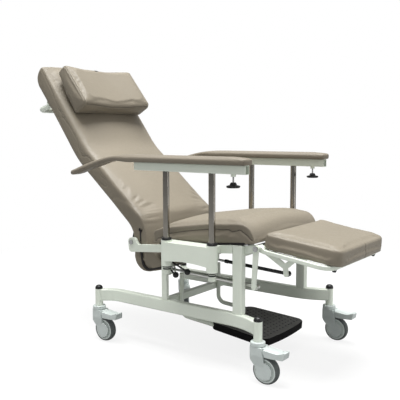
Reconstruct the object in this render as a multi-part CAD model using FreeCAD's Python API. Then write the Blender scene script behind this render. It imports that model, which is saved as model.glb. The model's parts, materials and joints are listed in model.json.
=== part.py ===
import FreeCAD, Part
import math
import os

# Wheeled reclining treatment chair. All sizes are in millimetres.
# +X is the way the sitter faces, +Y the sitter's left, +Z up, and the floor is at zero.
# While it is built, X is counted from the swivel axis of the front castors.
# The finished chair is moved so that the middle of its floor outline is the origin.

V = FreeCAD.Vector
ACROSS = V(0, 1, 0)
UP = V(0, 0, 1)
RIGHT = -1
LEFT = 1

# Castors
WHEEL_D = 100.0
TYRE_W = 28.0
TYRE_DEPTH = 7.0
HUB_BOSS_R = 14.0
HUB_DISC_W = 24.0
HUB_GROOVE = 4.0
RIM_DEPTH = 6.0
AXLE_D = 12.0
TRAIL = 36.0
FORK_HEAD_D = 54.0
FORK_HEAD_H = 14.0
FORK_NECK = 2.0
FORK_TOP_ROUND = 4.0
FORK_BACK = 26.0
FORK_NOSE = 35.0
FORK_HEEL = 97.0
FORK_CORNER = 18.0
FORK_LEG_T = 9.5
FORK_BOSS_R = 31.0
FORK_BOSS_T = 5.0
STEM_D = 22.0
STEM_TOP = 200.0
WHEEL_SIDE_GAP = 0.5
HUB_SIDE = 1.5
TYRE_GAP = 4.0
SWIVEL_GAP = 0.5
PEDAL_X = 12.0
PEDAL_DROP = 26.0
PEDAL_ROOT_R = 9.0
PEDAL_ROOT_W = 30.0
PEDAL_W = 51.0
PEDAL_TIP_W = 40.0
PEDAL_REACH = 118.0
PEDAL_RISE = 6.0
PEDAL_SKIRT = 19.0
PEDAL_LIP = 9.0
PEDAL_PIN_D = 6.0
PEDAL_SLOT_SIDE = 0.4
PEDAL_STROKE = 10.0
REAR_LEFT_TURN = -46.0

# Lower frame
WHEELBASE = 792.0
TRACK = 583.0
SOCKET_D = 32.0
SOCKET_LOW = 149.0
SOCKET_H = 71.0
CAP_H = 16.0
CAP_SPIGOT = 14.0
RAIL_W = 30.0
RAIL_H = 50.0
RAIL_TOP = 218.0
RAIL_GAUGE = 492.0
RAIL_EDGE = 6.0
FRONT_BEND = 280.0
REAR_BEND = 110.0
BASE_TUBE_X = -487.0
BASE_TUBE_W = 25.0
BASE_TUBE_H = 30.0
FRONT_POST_X = -110.0
FRONT_POST_W = 40.0
REAR_POST_X = -455.0
REAR_POST_W = 25.0
POST_EDGE = 4.0

# Seat
LEG_PIVOT_X = -40.0
LEG_PIVOT_Z = 466.0
SEAT_TILT = 5.7
SEAT_RAIL_W = 14.0
SEAT_RAIL_H = 30.0
EAR_BACK = 588.3
EAR_RISE = 26.5
EAR_R = 18.0
EAR_FOOT = 14.0
REAR_TUBE_U = -376.0
REAR_TUBE_W = 24.0
REAR_TUBE_H = 26.0
FRONT_TUBE_W = 24.0
FRONT_TUBE_H = 25.0
FRONT_TUBE_DROP = 18.0
PIVOT_PLATE_T = 8.0
PIVOT_PLATE_R = 13.0
SEAT_BOARD_T = 8.0
SEAT_BOARD_BACK = 452.0
SEAT_BOARD_NOSE = 22.0
SEAT_BOARD_HALF = 246.0
SEAT_HALF = 250.0
SEAT_BACK = 476.0
SEAT_NOSE = 4.0
SEAT_REAR_H = 67.0
SEAT_FRONT_H = 70.0
SEAT_CROWN = 20.0
SEAT_EDGE = 5.0
SEAT_CORNER = 34.0
SEAT_FRONT_ROUND = 30.0
SEAT_REAR_ROUND = 40.0

# Leg rest
LEG_TILT = 7.5
LEG_HALF = 225.0
LEG_START = 15.0
LEG_LENGTH = 297.0
LEG_PAD_H = 54.0
LEG_BOARD_T = 8.0
LEG_BOARD_INSET = 12.0
LEG_CROWN = 6.0
LEG_EDGE = 3.0
LEG_CORNER = 34.0
LEG_ROUND = 10.0
LEG_NOSE_ROUND = 16.0
LEG_TUBE_W = 20.0
LEG_TUBE_H = 16.0
LEG_TUBE_END = 276.0
LEG_TUBE_BEND = 45.0
LEG_LUG_R = 11.0
LEG_SIDE_GAP = 2.0
STRUT_PLATE_T = 6.0
STRUT_ELBOW = (106.0, -46.0)
STRUT_TOP = (136.0, -12.0)
STRUT_PIN = (113.0, -72.0)
FOOT_R = 9.0
FOOT_H = 9.0

# Backrest, with its side outline counted from its own pivot: forward, up, corner radius
BACK_SIDE_GAP = 3.0
BACK_TOE = (148.0, -102.0, 8.0)
BACK_HEEL = (3.0, -137.0, 65.0)
BACK_WAIST = (-8.0, 50.0, 95.0)
BACK_BEND = (-341.0, 324.0, 500.0)
BACK_TOP_REAR = (-617.0, 704.0)
BACK_TOP_FRONT = (-561.0, 757.0)
BACK_TOP_REAR_SHARE = 0.84
BACK_TOP_FRONT_SHARE = 0.14
BACK_FRONT_BEND = (-290.0, 384.0, 300.0)
BACK_LAP = (45.0, 105.0, 80.0)
BACK_KNEE = (83.0, -9.0, 18.0)
BACK_TOE_TOP = (148.0, -66.0, 12.0)
BACK_CROWN = 14.0
BACK_EDGE = 14.0
BACK_TOP_CORNER = 4.0
BACK_REAR_EDGE = 5.0
BACK_BOARD_T = 10.0
BOARD_TOE = (149.0, -97.0)
BOARD_HEEL = (47.0, -122.0, 38.0)
BOARD_RISE = (33.0, -50.0, 90.0)
BOARD_SKIN = 36.0
BOARD_WAIST_SKIN = 58.0
BOARD_TOP_INSET = 70.0
BOARD_DRAWN_IN = 8.0
HINGE_T = 6.0
HINGE_COVER = 3.0
HINGE_R = 16.0
HINGE_ARM = (20.0, 78.0)
PILLOW_START = 166.0
PILLOW_LENGTH = 224.0
PILLOW_LOW_T = 98.0
PILLOW_HIGH_T = 88.0
PILLOW_DROOP = 9.0
PILLOW_LIFT = 24.0
PILLOW_HALF = 216.0
PILLOW_ROUND = 20.0
PILLOW_DIP = 20.0
PILLOW_EDGE = 9.0
STRAP_W = 20.0
STRAP_T = 2.0
STRAP_Y = 88.0
STRAP_SINK = 1.0
STRAP_TAIL = 70.0
HANDLE_D = 23.0
HANDLE_HALF = 220.0
HANDLE_STUB = 24.0
HANDLE_KNEE = 20.0
HANDLE_REACH = 66.0
HANDLE_DIP = 12.0
HANDLE_BEND = 38.0
HANDLE_DOWN = 153.5
HANDLE_FLANGE_R = 19.0
HANDLE_FLANGE_T = 4.0

# Arms
ARM_GAUGE = 612.6
ARM_POST_D = 25.0
ARM_POST_REAR = -402.6
ARM_POST_FRONT = -188.1
ARM_POST_LOW = 342.0
ARM_RAIL_LOW = 735.0
ARM_RAIL_H = 32.0
ARM_RAIL_W = 25.0
ARM_RAIL_WALL = 2.0
ARM_RAIL_REAR = -555.0
ARM_RAIL_FRONT = -38.0
ARM_RAIL_EDGE = 3.0
ARM_PAD_T = 27.0
ARM_TAIL_BACK = (50.0, 114.0, 196.0, 280.0, 350.0, 371.0)
ARM_TAIL_UNDER = (0.0, 0.5, -20.0, -45.0, -63.0, -62.0)
ARM_TAIL_OVER = (-0.5, -4.0, -20.0, -43.0, -66.0, -71.0)
ARM_TAIL_SHARES = (0.97, 0.9, 0.82, 0.72, 0.58, 0.32)
ARM_NOSE_OVER = 12.0
ARM_NOSE_RUN = 50.0
ARM_PAD_HALF = 36.0
ARM_TRAVEL = 200.0
KNOB_BACK = 58.0
KNOB_NUT_R = 9.0
KNOB_NUT_H = 9.0
KNOB_STUD_D = 6.0
KNOB_R = 25.0
KNOB_H = 10.0
KNOB_HUB_R = 12.5
KNOB_HUB_H = 9.0
KNOB_NECK = 20.0
KNOB_BEVEL = 3.0
KNOB_LOBES = 6
SLEEVE_D = 42.0
SLEEVE_LOW = 372.0
SLEEVE_TOP = 472.0
BUSH_D = 30.0
BUSH_LENGTH = 25.0
COLLAR_D = 38.0
COLLAR_H = 6.0
RING_D = 36.0
RING_H = 4.0
HOUSING_LOW = 390.0
HOUSING_TOP = 466.0
HOUSING_T = 3.0
HOUSING_ARCH = 9.0
WEB_T = 16.0

# Footplate
FOOTPLATE_REAR = -313.0
FOOTPLATE_LENGTH = 277.0
FOOTPLATE_W = 292.0
FOOTPLATE_FRONT_W = 324.0
FOOTPLATE_DEPTH = 28.0
FOOTPLATE_SKIN = 6.0
FOOTPLATE_RIM = 6.0
FOOTPLATE_CORNER = 36.0
FOOTPLATE_BOW = 12.0
FOOTPLATE_Z = 126.0
FOOTPLATE_SLOPE = 4.4
FOOT_TUBE_D = 18.0
FOOT_TUBE_GAUGE = 266.0
FOOT_TUBE_BEND = 34.0
FOOT_TUBE_TOP = 300.0
FOOT_TUBE_REACH = 250.0
FOOT_TUBE_SADDLE = 1.0

# Gas springs and release levers
SPRING_D = 18.0
BACK_BARREL_D = 16.0
LEG_BARREL_D = 13.0
SPRING_GAP = 2.0
SPRING_ROD_D = 9.0
SPRING_EYE_R = 10.0
SPRING_EYE_W = 14.0
SPRING_PIN_D = 10.0
GLAND_L = 12.0
ROD_HEAD = 18.0
BACK_SPRING_PIN = (-9.0, -144.0)
BACK_SPRING_END = (166.0, -96.0)
BACK_SPRING_BODY = 312.0
BACK_ROD_HELD = 130.0
LEG_SPRING_ANCHOR = (-388.0, 402.0)
LEG_SPRING_BODY = 258.0
LEG_ROD_HELD = 60.0
HANGER_T = 6.0
HANGER_R = 9.0
CHEEK_T = 5.0
CHEEK_GAP = 1.0
SLOT_PLAY = 1.0
BACK_SLOT = (7.0, 6.6)
BACK_SLOT_SHIFT = (6.8, -5.7)
LEG_SLOT = (5.2, 10.2)
SLOT_WALL = 6.0
LEVER_PIVOT = (-418.0, 388.0)
LEVER_PIN_D = 8.0
LEVER_EYE_R = 9.0
LEVER_EYE_W = 8.0
LEVER_ROD_D = 7.0
LEVER_SIDE = 2.0
LEVER_BALL_D = 24.0
BACK_LEVER_BALL = (28.0, -59.0)
BACK_LEVER_ELBOW = (-3.0, -40.0)
LEG_LEVER_BALL = (93.0, -37.0)
LEVER_PLATE_T = 5.0
LEVER_PLATE_R = 13.0
GUSSET_X = -214.0
GUSSET_W = 36.0
GUSSET_DROP = 62.0
GUSSET_T = 6.0

# Pivots
PIVOT_D = 12.0
BOLT_HEAD_R = 10.0
BOLT_HEAD_T = 5.0
RUN = 0.05
TINY = 1e-6

# Sections across a cushion, as shares of its half width: the crowned middle, then the rounded edge
SHARES = (-0.93, -0.8, -0.5, 0.0, 0.5, 0.8, 0.93)
EDGE_SHARES = (0.93, 0.975, 1.0)


def turned(x, z, angle):
    """A point of the side view turned anticlockwise about zero."""
    c = math.cos(math.radians(angle))
    s = math.sin(math.radians(angle))
    return (x * c - z * s, x * s + z * c)


def span(side, inner, outer):
    """Lowest and highest Y of a band on one side of the chair."""
    return (min(side * inner, side * outer), max(side * inner, side * outer))


def box(x0, x1, y0, y1, z0, z1):
    return Part.makeBox(x1 - x0, y1 - y0, z1 - z0, V(x0, y0, z0))


def rod_y(x, z, radius, y0, y1):
    return Part.makeCylinder(radius, y1 - y0, V(x, y0, z), ACROSS)


def rod_z(x, y, radius, z0, z1):
    return Part.makeCylinder(radius, z1 - z0, V(x, y, z0), UP)


def fused(shapes):
    return shapes[0].multiFuse(shapes[1:]).removeSplitter()


def rounded(points, radii, closed):
    """Wire of straight runs joined by arcs at the corners."""
    count = len(points)
    joints = []
    for i, point in enumerate(points):
        ends = not closed and i in (0, count - 1)
        if ends or radii[i] <= 0:
            joints.append((point, None, point))
            continue
        back = (points[i - 1] - point).normalize()
        ahead = (points[(i + 1) % count] - point).normalize()
        half = back.getAngle(ahead) / 2
        reach = radii[i] / math.tan(half)
        bisector = (back + ahead).normalize()
        middle = point + bisector * (radii[i] / math.sin(half) - radii[i])
        joints.append((point + back * reach, middle, point + ahead * reach))
    edges = []
    for i, (first, middle, last) in enumerate(joints):
        if middle is not None:
            edges.append(Part.Arc(first, middle, last).toShape())
        if closed or i + 1 < count:
            following = joints[(i + 1) % count][0]
            if last.distanceToPoint(following) > TINY:
                edges.append(Part.LineSegment(last, following).toShape())
    return Part.Wire(edges)


def side_wire(corners, y, closed=True):
    """Outline in the side view from corners of (x, z, radius)."""
    points = [V(c[0], y, c[1]) for c in corners]
    return rounded(points, [c[2] for c in corners], closed)


def side_plate(corners, y0, y1):
    return Part.Face(side_wire(corners, y0)).extrude(V(0, y1 - y0, 0))


def plan_plate(corners, z0, z1):
    """Flat piece from plan corners of (x, y, radius)."""
    points = [V(c[0], c[1], z0) for c in corners]
    return Part.Face(rounded(points, [c[2] for c in corners], True)).extrude(V(0, 0, z1 - z0))


def link_plate(p, rp, q, rq, y0, y1):
    """Flat bar with round ends about two points of the side view."""
    a = V(p[0], y0, p[1])
    b = V(q[0], y0, q[1])
    axis = b - a
    length = axis.Length
    axis.normalize()
    across = V(-axis.z, 0, axis.x)
    lean = (rp - rq) / length
    up = axis * lean + across * math.sqrt(1 - lean * lean)
    down = axis * lean - across * math.sqrt(1 - lean * lean)
    edges = [
        Part.LineSegment(a + up * rp, b + up * rq).toShape(),
        Part.Arc(b + up * rq, b + axis * rq, b + down * rq).toShape(),
        Part.LineSegment(b + down * rq, a + down * rp).toShape(),
        Part.Arc(a + down * rp, a - axis * rp, a + up * rp).toShape(),
    ]
    return Part.Face(Part.Wire(edges)).extrude(V(0, y1 - y0, 0))


def block_wire(centre, wide, high, half_w, half_h, radius):
    """Rounded rectangle about a centre, spanned by two unit vectors."""
    points = [
        centre - wide * half_w - high * half_h,
        centre + wide * half_w - high * half_h,
        centre + wide * half_w + high * half_h,
        centre - wide * half_w + high * half_h,
    ]
    return rounded(points, [radius] * 4, True)


def swept(path, profile):
    return path.makePipeShell([profile], True, True)


def round_tube(points, radii, diameter):
    """Round bar along straight runs joined by bends."""
    path = rounded(points, radii, False)
    start = points[0]
    ring = Part.Wire([Part.makeCircle(diameter / 2, start, points[1] - start)])
    return swept(path, ring)


def spun(profile, origin, axis):
    """Solid of revolution from a closed wire."""
    return Part.Face(profile).revolve(origin, axis, 360)


def mirrored(shape):
    return shape.mirror(V(0, 0, 0), ACROSS)


def lofted(outline, half):
    """Cushion through side outlines given for each share of its half width."""
    middle = [side_wire(outline(share), share * half) for share in SHARES]
    pieces = [Part.makeLoft(middle, True, False)]
    for side in (RIGHT, LEFT):
        band = [side_wire(outline(side * share), side * share * half) for share in EDGE_SHARES]
        pieces.append(Part.makeLoft(band, True, True))
    return pieces[0].multiFuse(pieces[1:])


def edge_round(t):
    """Quarter round over the last stretch of a cushion's width, from none to all."""
    into = max(0.0, (t - EDGE_SHARES[0]) / (1 - EDGE_SHARES[0]))
    return 1 - math.sqrt(max(0.0, 1 - into * into))


def put(shape, angle, x, z):
    """Turns a piece anticlockwise in the side view about zero, then moves it there."""
    moved = shape.copy()
    moved.rotate(V(0, 0, 0), ACROSS, -angle)
    moved.translate(V(x, 0, z))
    return moved


def on_seat(shape):
    return put(shape, SEAT_TILT, LEG_PIVOT_X, LEG_PIVOT_Z)


def on_leg(shape):
    return put(shape, -LEG_TILT, LEG_PIVOT_X, LEG_PIVOT_Z)


NODES = {}


def keep(name, *shapes):
    NODES[name] = shapes[0] if len(shapes) == 1 else Part.makeCompound(list(shapes))


# Places that several pieces share
WHEEL_R = WHEEL_D / 2
RAIL_OUT = RAIL_GAUGE / 2 + RAIL_W / 2
RAIL_IN = RAIL_GAUGE / 2 - RAIL_W / 2
SEAT_RAIL_IN = RAIL_OUT - SEAT_RAIL_W
FORK_IN = TYRE_W / 2 + HUB_SIDE + WHEEL_SIDE_GAP
FORK_TOP = SOCKET_LOW - SWIVEL_GAP
ear = turned(-EAR_BACK, EAR_RISE, SEAT_TILT)
BACK_PIVOT_X = LEG_PIVOT_X + ear[0]
BACK_PIVOT_Z = LEG_PIVOT_Z + ear[1]
BACK_HALF = SEAT_RAIL_IN - BACK_SIDE_GAP
LEG_TUBE_OUT = RAIL_IN - LEG_SIDE_GAP
LEG_TUBE_IN = LEG_TUBE_OUT - LEG_TUBE_W
STRUT_PLATE_IN = LEG_TUBE_IN - STRUT_PLATE_T
BACK_SPRING_Y = RAIL_IN - SPRING_GAP - SPRING_D / 2
LEG_SPRING_Y = STRUT_PLATE_IN - SPRING_GAP - SPRING_D / 2
PLATE_OUT = RAIL_IN + PIVOT_PLATE_T
HANGER_OUT = PLATE_OUT + HANGER_T
ARM_Y = ARM_GAUGE / 2
PIVOT_R = PIVOT_D / 2
FRONT_POST_BACK = FRONT_POST_X - FRONT_POST_W / 2
FRONT_POST_NOSE = FRONT_POST_X + FRONT_POST_W / 2


def seat_line(x, rise):
    """Height of a line at a given rise above the seat's pivot line."""
    slope = math.radians(SEAT_TILT)
    return LEG_PIVOT_Z + (x - LEG_PIVOT_X) * math.tan(slope) + rise / math.cos(slope)


# Castor, built about its swivel axis
def castor_fork():
    head_r = FORK_HEAD_D / 2
    head_low = FORK_TOP - FORK_HEAD_H
    body_top = head_low - FORK_NECK
    lens = [
        (0, body_top, 0),
        (head_r - FORK_NECK, body_top, 0),
        (head_r - FORK_NECK, head_low, 0),
        (head_r, head_low, 0),
        (head_r, FORK_TOP, FORK_TOP_ROUND),
        (0, FORK_TOP, 0),
    ]
    head = spun(side_wire(lens, 0), V(0, 0, 0), UP)
    out = FORK_IN + FORK_LEG_T
    boss_out = FORK_IN + FORK_BOSS_T
    corners = [
        (-FORK_BACK, body_top, 0),
        (-FORK_BACK, FORK_HEEL, 8.0),
        (TRAIL - 0.85 * FORK_BOSS_R, WHEEL_R, 0),
        (TRAIL, WHEEL_R, 0),
        (FORK_NOSE, WHEEL_D, 3.0),
        (head_r, body_top, 0),
    ]
    reach = TRAIL + 2 * FORK_BOSS_R
    plan = [
        (-FORK_BACK, -out, FORK_CORNER),
        (reach, -out, 0),
        (reach, out, 0),
        (-FORK_BACK, out, FORK_CORNER),
    ]
    block = side_plate(corners, -out, out).common(plan_plate(plan, 0, SOCKET_LOW))
    pieces = [head]
    for side in (RIGHT, LEFT):
        taper = [
            V(-reach, side * boss_out, 0),
            V(-reach, side * boss_out, WHEEL_R + FORK_BOSS_R / 2),
            V(-reach, side * (out + 0.1), WHEEL_D + TYRE_GAP),
            V(-reach, side * 2 * out, WHEEL_D + TYRE_GAP),
            V(-reach, side * 2 * out, 0),
        ]
        wedge = Part.Face(rounded(taper, [0] * len(taper), True)).extrude(V(2 * reach, 0, 0))
        block = block.cut(wedge)
        y0, y1 = span(side, FORK_IN, boss_out)
        pieces.append(rod_y(TRAIL, WHEEL_R, FORK_BOSS_R, y0, y1))
    body = fused(pieces + [block])
    body = body.cut(rod_y(TRAIL, WHEEL_R, WHEEL_R + TYRE_GAP, -FORK_IN, FORK_IN))
    pedal_z = FORK_TOP - PEDAL_DROP
    slot_half = PEDAL_ROOT_W / 2 + PEDAL_SLOT_SIDE
    slot_low = pedal_z - PEDAL_ROOT_R - 6.0
    slot_high = pedal_z + PEDAL_ROOT_R + 2.5
    slot = box(PEDAL_X - PEDAL_ROOT_R - 1.0, 2 * head_r, -slot_half, slot_half, slot_low, slot_high)
    body = body.cut(slot)
    stem = rod_z(0, 0, STEM_D / 2, slot_high + 3.0, STEM_TOP)
    axle_half = boss_out - 1.5
    axle = rod_y(TRAIL, WHEEL_R, AXLE_D / 2, -axle_half, axle_half)
    pin_half = (slot_half + out) / 2
    pin = rod_y(PEDAL_X, pedal_z, PEDAL_PIN_D / 2, -pin_half, pin_half)
    body = body.cut(stem).cut(axle).cut(pin)
    return Part.makeCompound([body, stem, axle, pin])


def castor_hub():
    bore = AXLE_D / 2 + RUN
    rim_out = WHEEL_R - TYRE_DEPTH
    rim_in = rim_out - RIM_DEPTH
    boss = TYRE_W / 2 + HUB_SIDE
    disc = HUB_DISC_W / 2
    groove = disc - HUB_GROOVE
    rim = TYRE_W / 2 - 1.0
    half = [
        (bore, boss),
        (HUB_BOSS_R, boss),
        (HUB_BOSS_R + 2.0, disc),
        (rim_in - 5.0, disc - 1.0),
        (rim_in - 4.0, groove),
        (rim_in - 1.0, groove),
        (rim_in, rim),
        (rim_out, rim),
    ]
    profile = half + [(r, -y) for r, y in reversed(half)]
    points = [V(TRAIL + r, y, WHEEL_R) for r, y in profile]
    wire = rounded(points, [0] * len(points), True)
    return spun(wire, V(TRAIL, 0, WHEEL_R), ACROSS)


def castor_tyre():
    inner = WHEEL_R - TYRE_DEPTH
    half = TYRE_W / 2
    shoulder = WHEEL_R - TYRE_DEPTH / 2
    a = V(TRAIL + inner, -half, WHEEL_R)
    b = V(TRAIL + shoulder, -half, WHEEL_R)
    c = V(TRAIL + WHEEL_R, 0, WHEEL_R)
    d = V(TRAIL + shoulder, half, WHEEL_R)
    e = V(TRAIL + inner, half, WHEEL_R)
    edges = [
        Part.LineSegment(a, b).toShape(),
        Part.Arc(b, c, d).toShape(),
        Part.LineSegment(d, e).toShape(),
        Part.LineSegment(e, a).toShape(),
    ]
    return spun(Part.Wire(edges), V(TRAIL, 0, WHEEL_R), ACROSS)


def castor_pedal():
    """Moulded pedal: a narrow root in the fork's slot, then a shell with skirts beside the tyre."""
    z = FORK_TOP - PEDAL_DROP
    root = PEDAL_ROOT_W / 2
    half = PEDAL_W / 2
    tip = PEDAL_TIP_W / 2
    start = FORK_NOSE - 2.0
    low = z - PEDAL_SKIRT
    tongue = side_plate(
        [
            (PEDAL_X - PEDAL_ROOT_R, z - PEDAL_ROOT_R, PEDAL_ROOT_R * 0.8),
            (start + 12.0, z - PEDAL_ROOT_R, 0),
            (start + 12.0, z + PEDAL_RISE - 2.0, 0),
            (start - 4.0, z + PEDAL_ROOT_R, 10.0),
            (PEDAL_X - PEDAL_ROOT_R, z + PEDAL_ROOT_R, PEDAL_ROOT_R * 0.8),
        ],
        -root,
        root,
    )
    shell = side_plate(
        [
            (start, z + PEDAL_RISE, 2.0),
            (start + 8.5, low, 3.0),
            (PEDAL_REACH - 6.0, low + 1.0, 4.0),
            (PEDAL_REACH, z + PEDAL_LIP - 2.0, 1.5),
            (PEDAL_REACH - 3.0, z + PEDAL_LIP, 1.0),
            (PEDAL_REACH - 26.0, z + 1.0, 12.0),
        ],
        -half,
        half,
    )
    plan = [
        (start - 1.0, -half, 0),
        ((start + PEDAL_REACH) / 2, -half, 60.0),
        (PEDAL_REACH, -tip, 8.0),
        (PEDAL_REACH, tip, 8.0),
        ((start + PEDAL_REACH) / 2, half, 60.0),
        (start - 1.0, half, 0),
    ]
    pedal = fused([tongue, shell.common(plan_plate(plan, 0, SOCKET_LOW + PEDAL_LIP))])
    side = FORK_IN + 1.5
    pressed = turned(TRAIL - PEDAL_X, WHEEL_R - z, PEDAL_STROKE)
    pedal = pedal.cut(rod_y(TRAIL, WHEEL_R, WHEEL_R + TYRE_GAP, -side, side))
    pedal = pedal.cut(rod_y(PEDAL_X + pressed[0], z + pressed[1], WHEEL_R + 1.0, -side, side))
    return pedal.cut(rod_y(PEDAL_X, z, PEDAL_PIN_D / 2 + RUN, -root, root))


CASTOR_PLACES = {
    "front_right": (0.0, RIGHT),
    "front_left": (0.0, LEFT),
    "rear_right": (-WHEELBASE, RIGHT),
    "rear_left": (-WHEELBASE, LEFT),
}
CASTOR_TURNS = {"rear_left": REAR_LEFT_TURN}
CASTOR_PIECES = {
    "fork": castor_fork(),
    "wheel": castor_hub(),
    "tyre": castor_tyre(),
    "pedal": castor_pedal(),
}
for place, (x, side) in CASTOR_PLACES.items():
    for piece, shape in CASTOR_PIECES.items():
        copy = shape.copy()
        copy.rotate(V(0, 0, 0), UP, CASTOR_TURNS.get(place, 0.0))
        copy.translate(V(x, side * TRACK / 2, 0))
        keep("castor_%s_%s" % (piece, place), copy)

# Sockets that take the castor stems, and the round caps on top of them
sockets = []
caps = []
SOCKET_TOP = SOCKET_LOW + SOCKET_H
for x, side in CASTOR_PLACES.values():
    y = side * TRACK / 2
    bore_r = STEM_D / 2 + RUN
    tube = rod_z(x, y, SOCKET_D / 2, SOCKET_LOW, SOCKET_TOP)
    sockets.append(tube.cut(rod_z(x, y, bore_r, SOCKET_LOW, SOCKET_TOP)))
    dome = [
        (0, SOCKET_TOP, 0),
        (SOCKET_D / 2, SOCKET_TOP, 0),
        (SOCKET_D / 2, SOCKET_TOP + CAP_H, SOCKET_D * 0.4),
        (0, SOCKET_TOP + CAP_H, 0),
    ]
    cap = spun(side_wire(dome, 0), V(0, 0, 0), UP)
    cap.translate(V(x, y, 0))
    spigot = rod_z(x, y, bore_r, SOCKET_TOP - CAP_SPIGOT, SOCKET_TOP)
    caps.append(fused([cap, spigot]))
keep("castor_sockets", *sockets)
keep("socket_caps", *caps)


# Side rails of the lower frame, bowed out to the sockets at both ends
def base_rail(side):
    straight = RAIL_GAUGE / 2
    offset = TRACK / 2 - straight
    front_turn = math.acos(1 - offset / FRONT_BEND)
    rear_turn = math.acos(1 - offset / REAR_BEND)
    front_x = -FRONT_BEND * math.sin(front_turn)
    rear_x = -WHEELBASE + REAR_BEND * math.sin(rear_turn)
    z = RAIL_TOP - RAIL_H / 2

    def rear(turn):
        y = straight + REAR_BEND * (1 - math.cos(turn))
        return V(rear_x - REAR_BEND * math.sin(turn), side * y, z)

    def front(turn):
        y = straight + FRONT_BEND * (1 - math.cos(turn))
        return V(front_x + FRONT_BEND * math.sin(turn), side * y, z)

    path = Part.Wire([
        Part.Arc(rear(rear_turn), rear(rear_turn / 2), rear(0)).toShape(),
        Part.LineSegment(rear(0), front(0)).toShape(),
        Part.Arc(front(0), front(front_turn / 2), front(front_turn)).toShape(),
    ])
    wide = V(math.sin(rear_turn), side * math.cos(rear_turn), 0)
    profile = block_wire(rear(rear_turn), wide, UP, RAIL_W / 2, RAIL_H / 2, RAIL_EDGE)
    rail = swept(path, profile)
    for x in (0.0, -WHEELBASE):
        rail = rail.cut(rod_z(x, side * TRACK / 2, SOCKET_D / 2, SOCKET_LOW, SOCKET_TOP))
    return rail


keep("base_rail_right", base_rail(RIGHT))
keep("base_rail_left", base_rail(LEFT))


# Seat rails with the rear ears that carry the backrest
def seat_rail(side):
    half = SEAT_RAIL_H / 2
    ear_top = EAR_RISE + EAR_R
    corners = [
        (0, -half, 0),
        (0, half, 0),
        (-EAR_BACK + EAR_R + EAR_FOOT, half, 12.0),
        (-EAR_BACK + EAR_R, ear_top, EAR_R * 0.8),
        (-EAR_BACK - EAR_R, ear_top, EAR_R * 0.95),
        (-EAR_BACK - EAR_R, -half, 15.0),
    ]
    y0, y1 = span(side, SEAT_RAIL_IN, RAIL_OUT)
    rail = on_seat(side_plate(corners, y0, y1))
    rail = rail.cut(box(FRONT_POST_BACK, LEG_PIVOT_X + RAIL_H, y0, y1, RAIL_TOP, 2 * LEG_PIVOT_Z))
    return rail.cut(rod_y(BACK_PIVOT_X, BACK_PIVOT_Z, PIVOT_R, y0, y1))


keep("seat_rail_right", seat_rail(RIGHT))
keep("seat_rail_left", seat_rail(LEFT))


# Posts: the front pair carry the pivot plates of the leg rest
def front_post(side):
    top = seat_line(FRONT_POST_BACK, SEAT_RAIL_H / 2)
    y0, y1 = span(side, RAIL_IN, RAIL_OUT)
    plan = [
        (FRONT_POST_BACK, y0, POST_EDGE),
        (FRONT_POST_NOSE, y0, POST_EDGE),
        (FRONT_POST_NOSE, y1, POST_EDGE),
        (FRONT_POST_BACK, y1, POST_EDGE),
    ]
    post = plan_plate(plan, RAIL_TOP, top)
    p0, p1 = span(side, RAIL_IN, PLATE_OUT)
    root = (FRONT_POST_X, seat_line(FRONT_POST_X, 0) - 6.0)
    tip = (LEG_PIVOT_X, LEG_PIVOT_Z)
    plate = link_plate(root, PIVOT_PLATE_R + 3.0, tip, PIVOT_PLATE_R, p0, p1)
    behind = FRONT_POST_NOSE - POST_EDGE
    plate = plate.cut(box(behind - RAIL_GAUGE, behind, p0, p1, RAIL_TOP, 2 * LEG_PIVOT_Z))
    plate = plate.cut(rod_y(LEG_PIVOT_X, LEG_PIVOT_Z, PIVOT_R, p0, p1))
    return fused([post, plate])


def rear_post(side):
    x0 = REAR_POST_X - REAR_POST_W / 2
    x1 = REAR_POST_X + REAR_POST_W / 2
    under = -SEAT_RAIL_H / 2
    corners = [
        (x0, RAIL_TOP, 0),
        (x1, RAIL_TOP, 0),
        (x1, seat_line(x1, under), 0),
        (x0, seat_line(x0, under), 0),
    ]
    y0, y1 = span(side, SEAT_RAIL_IN, RAIL_OUT)
    return side_plate(corners, y0, y1)


keep("frame_posts", front_post(RIGHT), front_post(LEFT), rear_post(RIGHT), rear_post(LEFT))


# Cross tubes: between the lower rails, between the seat rails and between the front posts
def cross_tube(x, z, width, height, half):
    corners = [
        (x - width / 2, z - height / 2, POST_EDGE),
        (x + width / 2, z - height / 2, POST_EDGE),
        (x + width / 2, z + height / 2, POST_EDGE),
        (x - width / 2, z + height / 2, POST_EDGE),
    ]
    return side_plate(corners, -half, half)


base_tube = cross_tube(BASE_TUBE_X, RAIL_TOP - RAIL_EDGE - BASE_TUBE_H / 2, BASE_TUBE_W, BASE_TUBE_H, RAIL_IN)
rear_tube = on_seat(cross_tube(REAR_TUBE_U, 0, REAR_TUBE_W, REAR_TUBE_H, SEAT_RAIL_IN))
front_tube_z = seat_line(FRONT_POST_X, 0) - FRONT_TUBE_DROP
front_tube = cross_tube(FRONT_POST_X, front_tube_z, FRONT_TUBE_W, FRONT_TUBE_H, RAIL_IN)

# Seat board and cushion
board_low = SEAT_RAIL_H / 2
board_high = board_low + SEAT_BOARD_T
seat_board = plan_plate(
    [
        (-SEAT_BOARD_BACK, -SEAT_BOARD_HALF - PIVOT_R, 12.0),
        (-SEAT_BOARD_NOSE, -SEAT_BOARD_HALF - PIVOT_R, 30.0),
        (-SEAT_BOARD_NOSE, SEAT_BOARD_HALF + PIVOT_R, 30.0),
        (-SEAT_BOARD_BACK, SEAT_BOARD_HALF + PIVOT_R, 12.0),
    ],
    board_low,
    board_high,
)
keep("seat_board", on_seat(seat_board))


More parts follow.
